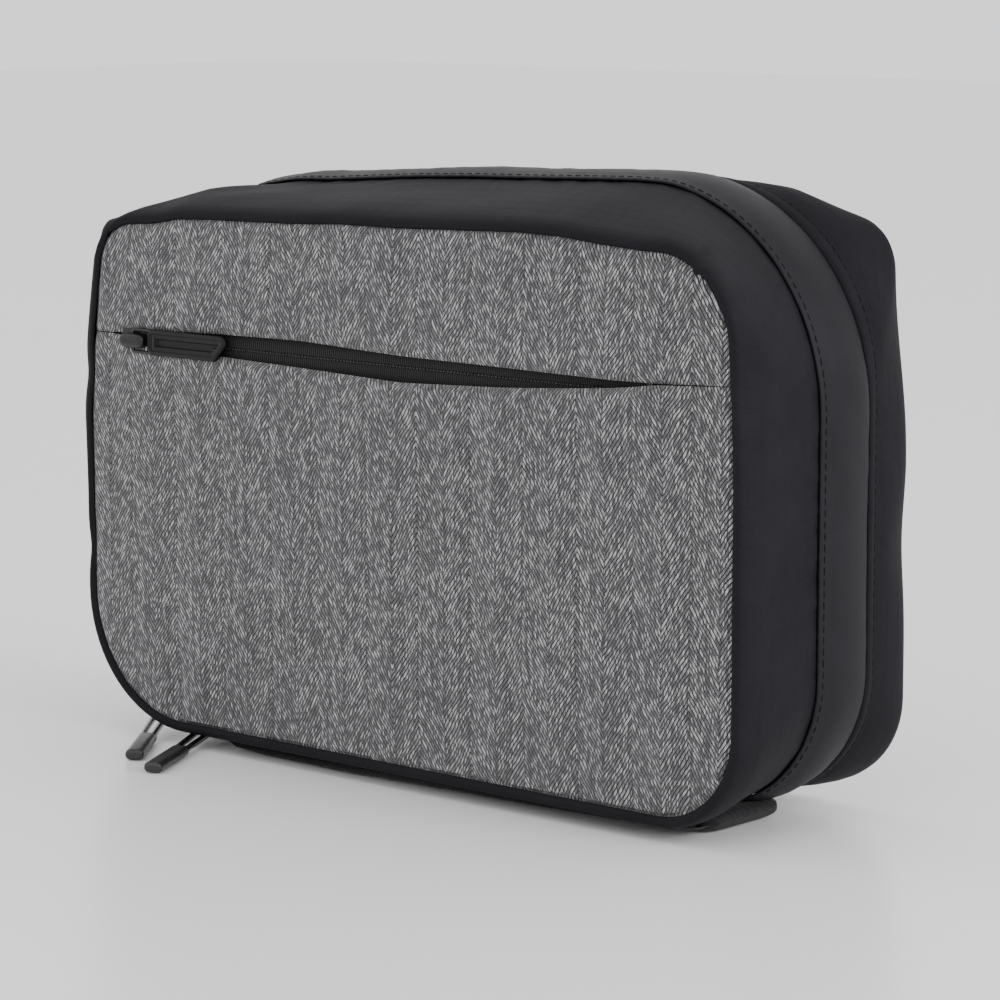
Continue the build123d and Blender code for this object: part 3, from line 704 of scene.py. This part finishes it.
lid_out = [(53.9, -0.7), (53.3, -0.45), (53.05, 0.1), (53.3, 0.75), (54.1, 1.1), (55.2, 1.0), (56.3, 0.5),
           (57.3, 0.75), (59.5, 1.1), (63.0, 1.35), (67.0, 1.3), (69.6, 0.95), (71.2, 0.3), (72.0, -0.6),
           (72.0, -1.3)]
lid_in = [(71.2, -1.6), (69.5, -1.2), (66.0, -0.6), (62.0, -0.3), (58.0, -0.6), (55.5, -0.7)]
lid_gusset = rings("rear_gusset_cloth", [(*row, 1.0) for row in lid_out + lid_in], finish["shell"],
                   bulge=lid_wrinkles)
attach(lid_gusset, "lid")
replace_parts(lid_gusset, "rear_gusset")
around_once = np.append(AROUND, 7.9999)
stitch_row("lid_stitches", *skin_line(56.35, 0.5, around_once), "lid", lift=0.05)


def panel_rows(front, back, inset, crown, edge=4.0):
    """Rows of a padded panel: rounded edge, crowned front and flat back."""
    shares = np.concatenate([np.linspace(0.002, 0.9, 22), 1 - 0.1 * (1 - np.linspace(0, 1, 9)) ** 2])
    roll = [1 - math.sqrt(max(0.0, 1 - ((share - 0.965) / 0.035) ** 2)) if share > 0.965 else 0.0
            for share in shares]
    near = [(front - crown * (1 - share ** 4) + r * (back - front) * 0.4, -inset, share)
            for share, r in zip(shares, roll)]
    away = [(back, -inset, share) for share in shares[::-3]]
    return near + away


rear_rows = [(140.0 - depth, outset, shrink) for depth, outset, shrink
             in panel_rows(140 - 72.0, 140 - 70.9, 1.6, 0.9)]
rear_panel = rings("rear_panel_cloth", rear_rows, finish["back"], closed_rows=False)
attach(rear_panel, "lid")
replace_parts(rear_panel, "rear_panel")
print("rear panel rows", len(rear_rows))

# %% [markdown]
# The front is two panels of herringbone with the pocket's zip between them. Their edges
# at the zip are folded back and stand a little open in the middle, like lips, and meet
# in a plain seam at both ends. Each panel is a grid of columns from its lip to its outer
# seam, pushed forward like a thin cushion; a grid keeps the lip and the seam both clean.

# %% Front panels
LIP_X = [-124.0, -112.5, -108.0, -97.0, -70.0, -36.0, 3.0, 40.0, 70.0, 88.0, 93.5, 120.0]
LIP_HIGH = [121.4, 121.7, 122.5, 123.3, 124.1, 124.6, 123.2, 122.9, 122.7, 122.5, 122.7, 124.0]
LIP_LOW = [121.2, 121.4, 120.2, 118.9, 117.7, 116.9, 115.8, 117.4, 119.7, 121.4, 122.5, 123.8]
PANEL_INSET = 0.55


def eased(x, places, values):
    """A smooth curve through points, as a maker bends a spline batten."""
    fine = np.linspace(places[0], places[-1], 900)
    straight = np.interp(fine, places, values)
    window = np.hanning(61) / np.hanning(61).sum()
    padded = np.concatenate([2 * straight[0] - straight[30:0:-1], straight,
                             2 * straight[-1] - straight[-2:-32:-1]])
    return np.interp(x, fine, np.convolve(padded, window, "valid"))


def seam_sizes(x):
    """The seam's half width, low, high, x counted from its middle, and the radii on that side."""
    left, right, low, high, *radii = skin_sizes(0.0)[:8]
    x = x - (left + right) / 2
    low_radius, high_radius = np.where(x > 0, radii[0], radii[3]), np.where(x > 0, radii[1], radii[2])
    return (right - left) / 2 - PANEL_INSET, low + PANEL_INSET, high - PANEL_INSET, x, low_radius, high_radius


def seam_distance(x, z):
    """How far a point of the front lies inside the outer seam."""
    half, low, high, x, low_radius, high_radius = seam_sizes(x)
    middle = (low + high) / 2
    radius = np.where(z < middle, low_radius, high_radius)
    px = np.abs(x) - (half - radius)
    pz = np.abs(z - middle) - ((high - low) / 2 - radius)
    outside = np.hypot(np.maximum(px, 0), np.maximum(pz, 0)) + np.minimum(np.maximum(px, pz), 0)
    return radius - outside


def seam_height(x, upper):
    """z of the outer seam above or below a place on the front."""
    half, low, high, x, low_radius, high_radius = seam_sizes(x)
    radius = high_radius if upper else low_radius
    over = np.maximum(np.abs(x) - (half - radius), 0)
    drop = radius - np.sqrt(np.maximum(radius ** 2 - over ** 2, 0))
    return high - drop if upper else low + drop


def front_panel(name, upper, lip_values):
    left, right = skin_sizes(0.0)[:2]
    half, bend = (right - left) / 2 - PANEL_INSET, np.linspace(-1, 1, 171)
    x = (left + right) / 2 + half * (np.sin(bend * math.pi / 2) * 0.35 + bend * 0.65)
    lip, seam = eased(x, LIP_X, lip_values), seam_height(x, upper)
    way = 1 if upper else -1
    shares = np.concatenate([[0.0], np.linspace(0, 1, 72)[1:-1], [0.985, 1.0]])
    columns, borders = [], []
    ends = smooth(x, -116.0, -108.0) * smooth(-x, -97.0, -91.0)     # 1 where the lip stands free
    for share in shares:
        z = lip + (seam - lip) * share
        inside = np.maximum(seam_distance(x, z), 0)
        from_lip = np.abs(z - lip)
        crown = 0.9 * smooth(inside, 0, 26.0) + 0.35 * ripples(x, z, 70.0, 17) * smooth(inside, 4, 20)
        if upper:                                           # lies lower where the tab passes over it
            crown = crown * (1 - smooth(x, 78.0, 88.0) * np.exp(-((z - 120.0) / 7.0) ** 2))
        tuck = 1.0 * (1 - smooth(inside, 0, 3.2)) ** 2
        fold = 0.9 * (1 - smooth(from_lip, 0, 2.0)) ** 2 * (0.35 + 0.65 * ends)
        gather = 0.10 * ripples(x, z, 8.0, 9) * (1 - smooth(inside, 2, 12))
        pocket = (0.0 if upper else 0.7) * smooth(from_lip, 0, 2.0) * ends
        depth = tuck + fold - crown - pocket * (1 - smooth(from_lip, 8, 40)) - gather
        placed = slump(x, z, 0.0)
        columns.append(np.stack([placed[0], FRONT + depth, placed[1]], -1))
        borders.append(np.stack([x, inside], -1))
    for into, back, flat in [(0.12, 0.45, 0.6), (0.30, 0.9, 0.6), (1.2, 1.15, 1.0), (5.0, 1.2, 1.0)]:
        turned = columns[0].copy()                          # each row of the turned-in hem goes in front
        turned[:, 1] += back * 0.8
        turned[:, 2] += way * into * flat
        columns.insert(0, turned)
        borders.insert(0, np.stack([x, np.full(len(x), 0.5)], -1))
    grid, border = np.stack(columns, 1), np.stack(borders, 1)
    panel = sheet_piece(name, grid, finish["herringbone"], maps={"border": border})
    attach(panel, "tray")
    print(name, "lip", round(float(lip.min()), 1), "to", round(float(lip.max()), 1))
    return panel


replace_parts(front_panel("front_panel_upper_cloth", True, LIP_HIGH), "front_panel_upper")
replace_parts(front_panel("front_panel_lower_cloth", False, LIP_LOW), "front_panel_lower")

# %% [markdown]
# Behind the lips lies a 5 mm coil zip: two tapes and on each a nylon coil, which is one
# thick thread wound in a flat helix. The coils lie behind the tapes, whose edges nearly
# meet, so from outside only a row of small dots of teeth shows between the tapes. The
# dots are the coil's black nylon, painted light grey: a painted highlight.

# %% Front zip
def coil(name, centre, across, upwards, thread=0.34, pitch=1.27, reach=1.5, height=0.62):
    """A zip coil: a flat helix along a line. across points from the line to the tape."""
    centre, across, upwards = (np.asarray(v, float) for v in (centre, across, upwards))
    length = lengths_along(centre)
    turns = int(length[-1] / pitch)
    at = np.arange(turns * 9) * pitch / 9
    angle = np.arange(turns * 9) * 2 * math.pi / 9
    line, side, up = ([np.interp(at, length, v[:, k]) for k in range(3)] for v in (centre, across, upwards))
    line, side, up = (np.stack(v, -1) for v in (line, side, up))
    line = line + side * (reach * np.cos(angle))[:, None] + up * (height * np.sin(angle))[:, None]
    piece = sheet_piece(name, tube_points(line, thread, 5, up=(0.31, 0.87, 0.38)), finish["coil"],
                        (False, True))
    return piece


zip_z, coil_y = 120.0, FRONT + 2.75
run = np.linspace(-110.2, 90.0, 60)
for half, way in (("upper", 1), ("lower", -1)):
    low_corner, high_corner = (Vector(v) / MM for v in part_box(f"pocket_zip_tape_{half}"))
    edge = [way * v for v in (0.26, 1.0, 2.8, 4.2, 6.2, 12.0)]
    strip = [np.stack([np.linspace(low_corner.x, high_corner.x, 90), np.full(90, FRONT + depth),
                       np.full(90, zip_z + offset)], -1)
             for offset, depth in zip(edge + edge[::-1], (1.8, 1.4, 1.45, 2.1, 2.3, 2.1,
                                                             2.5, 2.7, 2.5, 1.85, 1.75, 2.1))]
    tape = sheet_piece(f"pocket_tape_{half}", np.stack(strip, 1), finish["tape"], (False, True))
    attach(tape, "tray")
    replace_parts(tape, f"pocket_zip_tape_{half}")
    line = np.stack([run, np.full(60, coil_y), np.full(60, zip_z + way * 1.45)], -1)
    helix = coil(f"pocket_coil_{half}", line, np.tile([0, 0, float(way)], (60, 1)),
                 np.tile([0, -1.0, 0], (60, 1)))
    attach(helix, "tray")
    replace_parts(helix, f"pocket_zip_coil_{half}")
# the teeth are beads in the light grey finish: a painted highlight on the black coil
teeth = np.stack([run, np.full(60, FRONT + 1.4), np.full(60, zip_z)], -1)
stitch_row("pocket_teeth", teeth, np.tile([0, -1.0, 0], (60, 1)), "tray", pitch=1.27, stitch=0.55,
           radius=0.2, coat="teeth")
print("pocket zip", len(helix.data.vertices), "points in one coil")

# %% [markdown]
# The main zip runs round the bag on the same outline. It is mostly under the flap, but
# its end shows at the bottom left corner, and all of it shows when the lid is open. The
# tape is a thin band and the coil is the same helix, bent round the outline.

# %% Main zip
def outline_part(x_from, x_to, around=None):
    """Places round the outline from a bottom x, over the top, to another bottom x."""
    left, right = -85.6, 85.6                               # ends of the straight bottom edge
    first = (x_from - left) / (right - left)
    last = 8 + (x_to - left) / (right - left)
    return np.concatenate([[first], AROUND[(AROUND > first) & (AROUND < 8)], np.linspace(8, last, 8)]) \
        if last > 8 else np.linspace(first, last, 60)


chain_around = outline_part(77.6, -77.6)
for side, body, depth, way in (("tray", "tray", 46.7, -1), ("lid", "lid", 50.3, 1)):
    around = chain_around if side == "tray" else chain_around[chain_around < 6.98]
    outer_edge, inner_edge = depth + way * 9.0, depth - way * 0.9
    rows = [(outer_edge, -1.35, 1.0), (depth, -1.35, 1.0), (inner_edge, -1.5, 1.0),
            (inner_edge, -1.8, 1.0), (depth, -1.85, 1.0), (outer_edge, -1.85, 1.0)]
    tape = rings(f"main_tape_{side}", rows, finish["tape"], around)
    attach(tape, body)
    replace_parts(tape, f"main_zip_tape_{side}")
    line, outwards = skin_line(depth, -1.9, around)
    helix = coil(f"main_coil_{side}", line, np.tile([0, float(way), 0], (len(line), 1)), outwards)
    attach(helix, body)
    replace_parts(helix, f"main_zip_coil_{side}")
line, outwards = skin_line(50.3, -1.9, chain_around[chain_around >= 6.98])
end_coil = coil("main_coil_end", line, np.tile([0, 1.0, 0], (len(line), 1)), outwards)
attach(end_coil, "tray")
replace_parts(end_coil, "main_zip_coil_end")
print("main coil", len(helix.data.vertices), "points")

# %% [markdown]
# The hard pieces keep their modelled shape: sliders, wires, stops and sleeves. A bevel
# modifier rounds their sharp edges, since cast and moulded edges always catch a line of
# light, and each takes its painted, metal or moulded finish.

# %% Sliders, wires, stops and sleeves
HARD = {"pocket_slider": "paint", "pocket_pull_link": "paint", "main_slider_a": "paint",
        "main_slider_b": "paint", "pull_link_a": "paint", "pull_link_b": "paint",
        "pocket_zip_stops": "coil", "main_zip_stops": "coil", "pull_sleeve_a": "sleeve",
        "pull_sleeve_b": "sleeve", "divider_hook_left": "hook", "divider_hook_right": "hook"}
for name, coat in HARD.items():
    part = nodes[name]
    part.data.materials.clear()
    part.data.materials.append(finish[coat])
    if "link" not in name and "sleeve" not in name:
        edge = part.modifiers.new("soft_edge", "BEVEL")
        edge.width, edge.segments = (0.5 * MM, 4) if name == "pocket_slider" else (0.14 * MM, 2)
        edge.limit_method = "ANGLE"
        edge.angle_limit = math.radians(35)
print("hard pieces", len(HARD))

# %% [markdown]
# The front zip is pulled with a flat rubber tab on a wire. The tab is a rounded bar with
# a long recess in its face and a far end cut at a slant with a raised rim. Its outline
# is drawn once, and rings of that outline at growing heights give the soft edges. The
# slider's rounded crown is a small piece beside it, which rides with the slider.

# %% Pocket pull tab
def tab_outline(inset, count=14):
    """The tab seen from the front: round near end, slanted far end, in its own x and z."""
    left, right, top, low = -97.2 + inset, -65.2 - inset, 3.75 - inset, -3.75 + inset
    radius, slant = max(2.2 - inset, 0.3), 2.6
    corners = [(left + radius, low + radius, 180, 270), (right - slant - radius, low + radius, 270, 340),
               (right - radius * 0.8, top - radius, 340, 450), (left + radius, top - radius, 90, 180)]
    points = []
    for x, z, first, last in corners:
        for angle in np.radians(np.linspace(first, last, count)):
            points.append((x + radius * math.cos(angle), z + radius * math.sin(angle)))
    return np.array(points)


layers = [(3.2, 0.15), (1.0, 0.0), (0.25, 0.1), (0.0, 0.45), (0.0, 1.55), (0.3, 1.95), (0.75, 2.1),
          (1.05, 2.1), (1.2, 1.95), (1.35, 1.6), (1.6, 1.5), (2.45, 1.5), (2.6, 1.3), (2.7, 0.6), (3.4, 0.6)]
tab_back = float(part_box("pocket_pull_tab")[1].y) / MM
grid = np.stack([np.concatenate([tab_outline(inset), np.full((56, 1), tab_back - height)], 1)
                 for inset, height in layers], 1)[:, :, [0, 2, 1]]
middle_line = grid[:, [0, -1]] * (1, 1, 0)                  # both faces close on a line
grid = np.concatenate([middle_line[:, :1], grid, middle_line[:, 1:]], 1)
grid[:, :, 2] += zip_z
tab = sheet_piece("pull_tab_rubber", grid, finish["rubber"], (True, False))
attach(tab, "pocket_puller")
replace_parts(tab, "pocket_pull_tab")
print("tab", len(tab.data.vertices), "points, back at", round(tab_back, 2))

crown_front = float(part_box("pocket_slider")[0].y) / MM - 0.15
turn = np.linspace(0, 2 * math.pi, 49)[:-1]
layers = [(0.35, 3.0), (0.0, 2.6), (0.0, 1.1), (0.12, 0.6), (0.45, 0.2), (1.0, 0.0), (1.7, 0.0), (2.0, 0.0)]
grid = []
for inset, back in layers:
    wide, high = 5.0 - inset, 2.1 - inset
    grid.append(np.stack([-103.4 + wide * np.sign(np.cos(turn)) * np.abs(np.cos(turn)) ** 0.5,
                          np.full(48, crown_front + back),
                          zip_z + high * np.sign(np.sin(turn)) * np.abs(np.sin(turn)) ** 0.6], -1))
crown = sheet_piece("slider_crown", np.array(grid), finish["paint"], (False, True))
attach(crown, "pocket_slider")
print("crown", len(crown.data.vertices), "points, front at", round(crown_front, 2))

# %% [markdown]
# The strap under the bag is both its foot and its handle: a flat black strap sewn down
# near its two ends, slack between them. At the left it bows and leaves a dark gap like a
# lens, and at the right it is folded over on itself. It is a rounded ribbon swept along
# a line, made in two halves that meet at the middle.

# %% Strap handle
def strap_piece(name, x_values, centre_z, half_thick, front_edge, rear_edge, material):
    """A ribbon along x: a flat oval section from a front edge to a rear edge."""
    turn = np.linspace(0, 2 * math.pi, 41)[:-1]
    grid = []
    for x, z, thick, near, away in zip(x_values, centre_z, half_thick, front_edge, rear_edge):
        middle, half = (near + away) / 2, (away - near) / 2
        y = middle + half * np.sign(np.cos(turn)) * np.abs(np.cos(turn)) ** 0.35
        height = z + thick * np.sign(np.sin(turn)) * np.abs(np.sin(turn)) ** 0.6
        grid.append(np.stack([np.full(40, x), y, height], -1))
    return sheet_piece(name, np.array(grid), material, (False, True))


left_x = np.linspace(-77.8, 10.0, 70)
right_x = np.linspace(10.0, 96.5, 72)


def strap_shape(x):
    """Centre height, half thickness, front and rear edge of the strap along x."""
    slack = smooth(-x, -8.0, 42.0)              # the free, bowed part; the rest is pressed flat and full
    centre = 2.05 - 0.95 * slack + 2.0 * smooth(-x, 71.0, 79.0)
    near = np.interp(x, [-78, -60, -25, 39, 72, 97, 101], [-26.0, -28.6, -29.6, -26.8, -23.8, -19.6, -18.8])
    near = near + 0.4 * ripples(x, x * 0, 40.0, 2)
    return centre, 1.95 - 0.9 * slack, near, np.full(len(x), 13.6)


for name, x, body_pair, span in (("strap_left", left_x, ("tray", "handle_grip"), (-74.0, -38.0)),
                                 ("strap_right", right_x, ("handle_grip", "tray"), (68.0, 96.0))):
    strap = strap_piece(name, x, *strap_shape(x), finish["webbing"])
    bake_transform(strap)
    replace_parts(strap, *(("handle_leg_left", "handle_grip") if "left" in name else ("handle_leg_right",)))
    print(name, len(strap.data.vertices), "points")

for name, x_low, x_high in (("strap_root_left", -77.8, -68.8), ("strap_root_right", 90.8, 99.8)):
    x = np.linspace(x_low, x_high, 12)
    bulge = 1 - np.abs(np.linspace(-1, 1, 12)) ** 4
    root = strap_piece(name, x, np.full(12, 3.6), 1.0 + 1.3 * bulge, np.full(12, -24.0), np.full(12, -2.8),
                       finish["webbing"])
    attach(root, "tray")
fold_x = 101.0 - 21.0 * (1 - np.sin(np.linspace(0, math.pi / 2, 40))) ** 1.3
nose = np.clip((fold_x - 98.6) / 2.4, 0, 1)                 # 0 on the flat, 1 at the round end
corner = 5.0 * (1 - np.sqrt(1 - np.clip((fold_x - 96.0) / 5.0, 0, 1) ** 2))
_, _, near, away = strap_shape(fold_x)
fold = strap_piece("strap_fold", fold_x, np.full(40, 2.65), 2.5 * np.sqrt(1 - nose ** 2) + 0.01,
                   near + corner - 0.3, away - corner + 0.2, finish["webbing"])
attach(fold, "tray")

# %% [markdown]
# Along the bottom the tray and the lid are joined by a strip of cloth, sewn to both. It
# is the lid's hinge; here it is one mesh that stays where it lies at rest, fixed to
# neither half.

# %% Fabric hinge
hinge_x = np.linspace(-75.6, 75.6, 80)
hinge_y = np.linspace(FRONT + 38.6, FRONT + 58.4, 24)
lower = [np.stack([hinge_x, np.full(80, y), np.full(80, 3.95) + 0.15 * ripples(hinge_x, y, 18.0, 4)], -1)
         for y in hinge_y]
upper = [row + (0, 0, 0.6) for row in lower[::-1]]
hinge = sheet_piece("hinge_cloth", np.stack(lower + upper, 1), finish["shell"], (False, True))
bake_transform(hinge)
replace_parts(hinge, "hinge_gusset", "hinge_gusset_lid")
print("hinge", len(hinge.data.vertices), "points")

# %% [markdown]
# Inside, both halves are lined with dark grey cloth over foam. A lining is a shallow cup:
# its wall follows the outline just inside the shell, and its floor is a panel quilted
# softly over the foam. One list of rings goes down the wall and in to the middle.

# %% Linings and foam
def lining(name, rim, floor, back, body, node, seed):
    """A lining cup from its rim to its floor; depth back is behind the floor's cloth."""
    way = 1 if floor > rim else -1
    wall = np.linspace(rim, floor - way * 2.5, 9)
    shares = np.concatenate([np.linspace(0.985, 0.8, 8), np.linspace(0.75, 0.002, 12)])
    inner = [(depth, -2.95, 1.0) for depth in wall] + [(floor - way * 0.8, -3.3, 0.998)]
    inner += [(floor - way * 0.5 * (1 - share ** 6), -3.3, share) for share in shares]
    outer = [(back, -2.2, share) for share in shares[::-1]] + [(depth, -2.2, 1.0) for depth in wall[::-1]]
    piece = rings(name, inner + outer, finish["lining"],
                  bulge=lambda length, depth: 0.12 * ripples(length, depth, 24.0, seed))
    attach(piece, body)
    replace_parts(piece, node)
    print(name, len(piece.data.vertices), "points")


lining("tray_lining_cloth", 41.6, 11.7, 11.0, "tray", "tray_lining", 41)
lining("lid_lining_cloth", 54.9, 66.7, 67.3, "lid", "lid_lining", 43)
pocket_rows = ([(2.3, -1.55, 1.0), (6.6, -1.55, 1.0), (7.5, -1.6, 1.0)]
               + [(7.5, -1.6, share) for share in np.linspace(0.98, 0.002, 12)]
               + [(7.1, -2.2, share) for share in np.linspace(0.002, 0.98, 12)]
               + [(6.4, -2.2, 1.0), (2.3, -2.2, 1.0)])
pocket = rings("pocket_lining_cloth", pocket_rows, finish["lining"])
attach(pocket, "tray")
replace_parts(pocket, "pocket_lining")

for name, near, away, body in (("front_foam", 7.9, 10.6, "tray"), ("rear_foam", 67.7, 70.5, "lid")):
    pad = rings(f"{name}_pad", panel_rows(near + 0.2, away, 3.0, 0.15), finish["foam"],
                closed_rows=False)
    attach(pad, body)
    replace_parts(pad, name)
for name, depth, body in (("tray_binding", 42.75, "tray"), ("lid_binding", 53.75, "lid")):
    turn = np.linspace(0, 2 * math.pi, 13)[:-1]
    tape = rings(f"{name}_tape", [(depth + 0.6 * math.cos(a), -2.6 - 0.5 * math.sin(a), 1.0) for a in turn],
                 finish["binding"])
    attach(tape, body)
    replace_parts(tape, name)
print("foam and binding made")

# %% [markdown]
# Two padded dividers split the tray in three. They are foam wrapped in cloth, so they
# swell between their edges. This is a job for the cloth solver: a slightly thin slab is
# remeshed, blown up a little from inside, held to a small movement and then frozen.

# %% Padded dividers
def swell(piece, pressure, most):
    """Blow a closed mesh up softly and keep the result; no point moves more than most mm."""
    bpy.context.view_layer.objects.active = piece
    piece.select_set(True)
    remesh = piece.modifiers.new("remesh", "REMESH")
    remesh.mode, remesh.voxel_size = "VOXEL", 2.4 * MM
    bpy.ops.object.modifier_apply(modifier="remesh")
    before = np.array([v.co for v in piece.data.vertices])
    cloth = piece.modifiers.new("cloth", "CLOTH")
    cloth.settings.quality, cloth.settings.mass = 6, 0.2
    cloth.settings.use_pressure, cloth.settings.uniform_pressure_force = True, pressure
    cloth.settings.effector_weights.gravity = 0.0
    cloth.settings.tension_stiffness = cloth.settings.compression_stiffness = 20
    for step in range(1, 21):
        bpy.context.scene.frame_set(step)
    bpy.ops.object.modifier_apply(modifier="cloth")
    bpy.context.scene.frame_set(1)
    after = np.array([v.co for v in piece.data.vertices])
    moved = after - before
    far = np.linalg.norm(moved, axis=1, keepdims=True)
    after = before + moved * np.minimum(1, most * MM / np.maximum(far, 1e-9))
    piece.data.vertices.foreach_set("co", after.ravel())
    soft = piece.modifiers.new("soft", "SUBSURF")
    soft.levels = soft.render_levels = 1
    bpy.ops.object.modifier_apply(modifier="soft")
    piece.data.polygons.foreach_set("use_smooth", [True] * len(piece.data.polygons))
    piece.select_set(False)
    print(piece.name, "moved up to", round(float(np.minimum(far, most * MM).max()) / MM, 2), "mm")


for side in ("left", "right"):
    low, high = (Vector(v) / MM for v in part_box(f"divider_{side}"))
    x, y, z = (np.array([low[k] + 0.7, high[k] - 0.7]) for k in range(3))
    y, z = y + (-0.2, 0.2), z + (0.3, -0.6)
    corners = [(a, b, c) for a in x for b in y for c in z]
    faces = [(0, 1, 3, 2), (4, 6, 7, 5), (0, 4, 5, 1), (2, 3, 7, 6), (0, 2, 6, 4), (1, 5, 7, 3)]
    slab = mesh_piece(f"divider_{side}_pad", corners, faces, finish["lining"])
    swell(slab, 3.0, 1.1)
    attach(slab, "tray")
    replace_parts(slab, f"divider_{side}")

# %% [markdown]
# Small fittings hold cables: a slip pocket in the middle bay, a net pocket in the lid and
# a row of elastic loops above it. They are thin sheets that stand off the lining, so
# each is a grid that bows outwards between its sewn edges, with a bound or hemmed top.

# %% Pockets and elastic loops
low, high = (Vector(v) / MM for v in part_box("slip_pocket"))
across, upward = np.linspace(-1, 1, 41), np.linspace(0, 1, 31)
grid = []
for a in across:
    bow = (1 - abs(a) ** 5)
    rows = [(low.x + (high.x - low.x) * (a + 1) / 2, low.y + 0.5 + (high.y - low.y - 1.0) * bow * smooth(
        np.array([t]), -0.02, 0.16)[0] * (0.88 + 0.12 * t), low.z + (high.z - low.z) * t) for t in upward]
    rim = rows[-1]
    rows += [(rim[0], rim[1] + 0.35, rim[2] + 0.2), (rim[0], rim[1] + 0.5, rim[2] - 0.6),
             (rim[0], rim[1] + 0.35, rim[2] - 9.0), (rim[0], rim[1] + 0.05, rim[2] - 9.4)]
    grid.append(rows)
slip = sheet_piece("slip_pocket_cloth", grid, finish["lining"])
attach(slip, "tray")
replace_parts(slip, "slip_pocket")

low, high = (Vector(v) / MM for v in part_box("mesh_pocket"))
NET_RADIUS, NET_BOTTOM, NET_HALF = 34.0, 8.9, 119.4         # the lid lining that the net follows
grid = []
for share in np.linspace(0, 1, 41):
    z = low.z + (high.z - low.z) * share
    rise = np.maximum(NET_RADIUS - (z - NET_BOTTOM), 0)
    reach = NET_HALF - (NET_RADIUS - math.sqrt(max(NET_RADIUS ** 2 - rise ** 2, 0)))
    place = np.linspace(-1, 1, 121)
    bow = (1 - np.abs(place) ** 8) * smooth(np.array([share]), -0.01, 0.12)[0]
    depth = 66.0 - 5.6 * bow
    grid.append(np.stack([place * reach, FRONT + depth, np.full(121, z)], -1))
net = sheet_piece("mesh_pocket_net", np.stack(grid, 1), finish["net"])
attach(net, "lid")
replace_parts(net, "mesh_pocket")
low, high = (Vector(v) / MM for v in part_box("mesh_binding"))
place = np.linspace(-1, 1, 121)
turn = np.linspace(0, 2 * math.pi, 17)[:-1]
grid = [[(p * (high.x - 0.5), low.y + 0.6 + 4.6 * abs(p) ** 8 - 0.5 * math.cos(a),
          (low.z + high.z) / 2 + 3.8 * np.sign(math.sin(a)) * abs(math.sin(a)) ** 0.4) for a in turn]
        for p in place]
band = sheet_piece("mesh_binding_tape", grid, finish["binding"], (False, True))
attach(band, "lid")
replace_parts(band, "mesh_binding")

low, high = (Vector(v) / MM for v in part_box("cable_loops"))
loop_x = np.linspace(low.x + 0.2, high.x - 0.2, 421)
phase = (loop_x + 18.0) % 36.0 - 18.0
arch = np.clip(1 - (phase / 14.2) ** 2, 0, 1) ** 0.5
back = high.y - 0.55
grid = []
for z, swollen in ((low.z + 0.2, 0), (low.z + 4, 1), (high.z - 4, 1), (high.z - 0.2, 0)):
    stand = (high.y - low.y - 1.1) * arch * (1.0 if swollen else 0.97)
    grid.append(np.stack([loop_x, back - stand, np.full(421, z)], -1))
rear = [row + (0, 0.7, 0) for row in grid[::-1]]
loops = sheet_piece("cable_loops_elastic", np.stack(grid + rear, 1), finish["elastic"], (False, True))
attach(loops, "lid")
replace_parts(loops, "cable_loops")
print("fittings made")

# %% [markdown]
# The pouch is shown on a plain pale surface in soft studio light: the strongest lamp is
# on the right, a weaker one is in front, a very weak one is above, and a bright room
# fills the shade.
# Large lamps give wide soft highlights, which is what shows black cloth.

# %% Floor, room and lights
surface = Finish("pale_surface")
x, y, _ = surface.place()
mottle = surface.noise(surface.point(x, y, 0.0), 0.004, 2.0)
surface.done(Base_Color=surface.colours(mottle, (0.86, 0.86, 0.865), (0.89, 0.89, 0.895)), Roughness=0.28,
             Specular_IOR_Level=0.4)
floor = mesh_piece("floor", [(-4000, -4000, 0), (4000, -4000, 0), (4000, 4000, 0), (-4000, 4000, 0)],
                   [(0, 1, 2, 3)], surface.material, shade=False)
floor.location.z = -0.0001

world = bpy.data.worlds.new("room")
bpy.context.scene.world = world
world.use_nodes = True
room = world.node_tree.nodes["Background"]
room.inputs["Color"].default_value = (1.0, 1.0, 1.0, 1.0)
room.inputs["Strength"].default_value = 1.35


def lamp(name, place, aim, size, power):
    light = bpy.data.lights.new(name, "AREA")
    light.shape, light.size, light.size_y, light.energy = "RECTANGLE", size[0], size[1], power
    piece = bpy.data.objects.new(name, light)
    bpy.context.scene.collection.objects.link(piece)
    piece.location = place
    piece.rotation_mode = "QUATERNION"
    piece.rotation_quaternion = (Vector(aim) - Vector(place)).to_track_quat("-Z", "Y")
    print(name, power, "W")


lamp("top_softbox", (0.1, 0.2, 1.3), (0, 0, 0.08), (1.2, 0.9), 0.4)
lamp("front_softbox", (0.1, -1.5, 0.8), (0, 0, 0.08), (1.0, 0.8), 3.0)
lamp("right_softbox", (1.5, 0.1, 0.7), (0.1, 0, 0.08), (0.7, 0.9), 16.0)
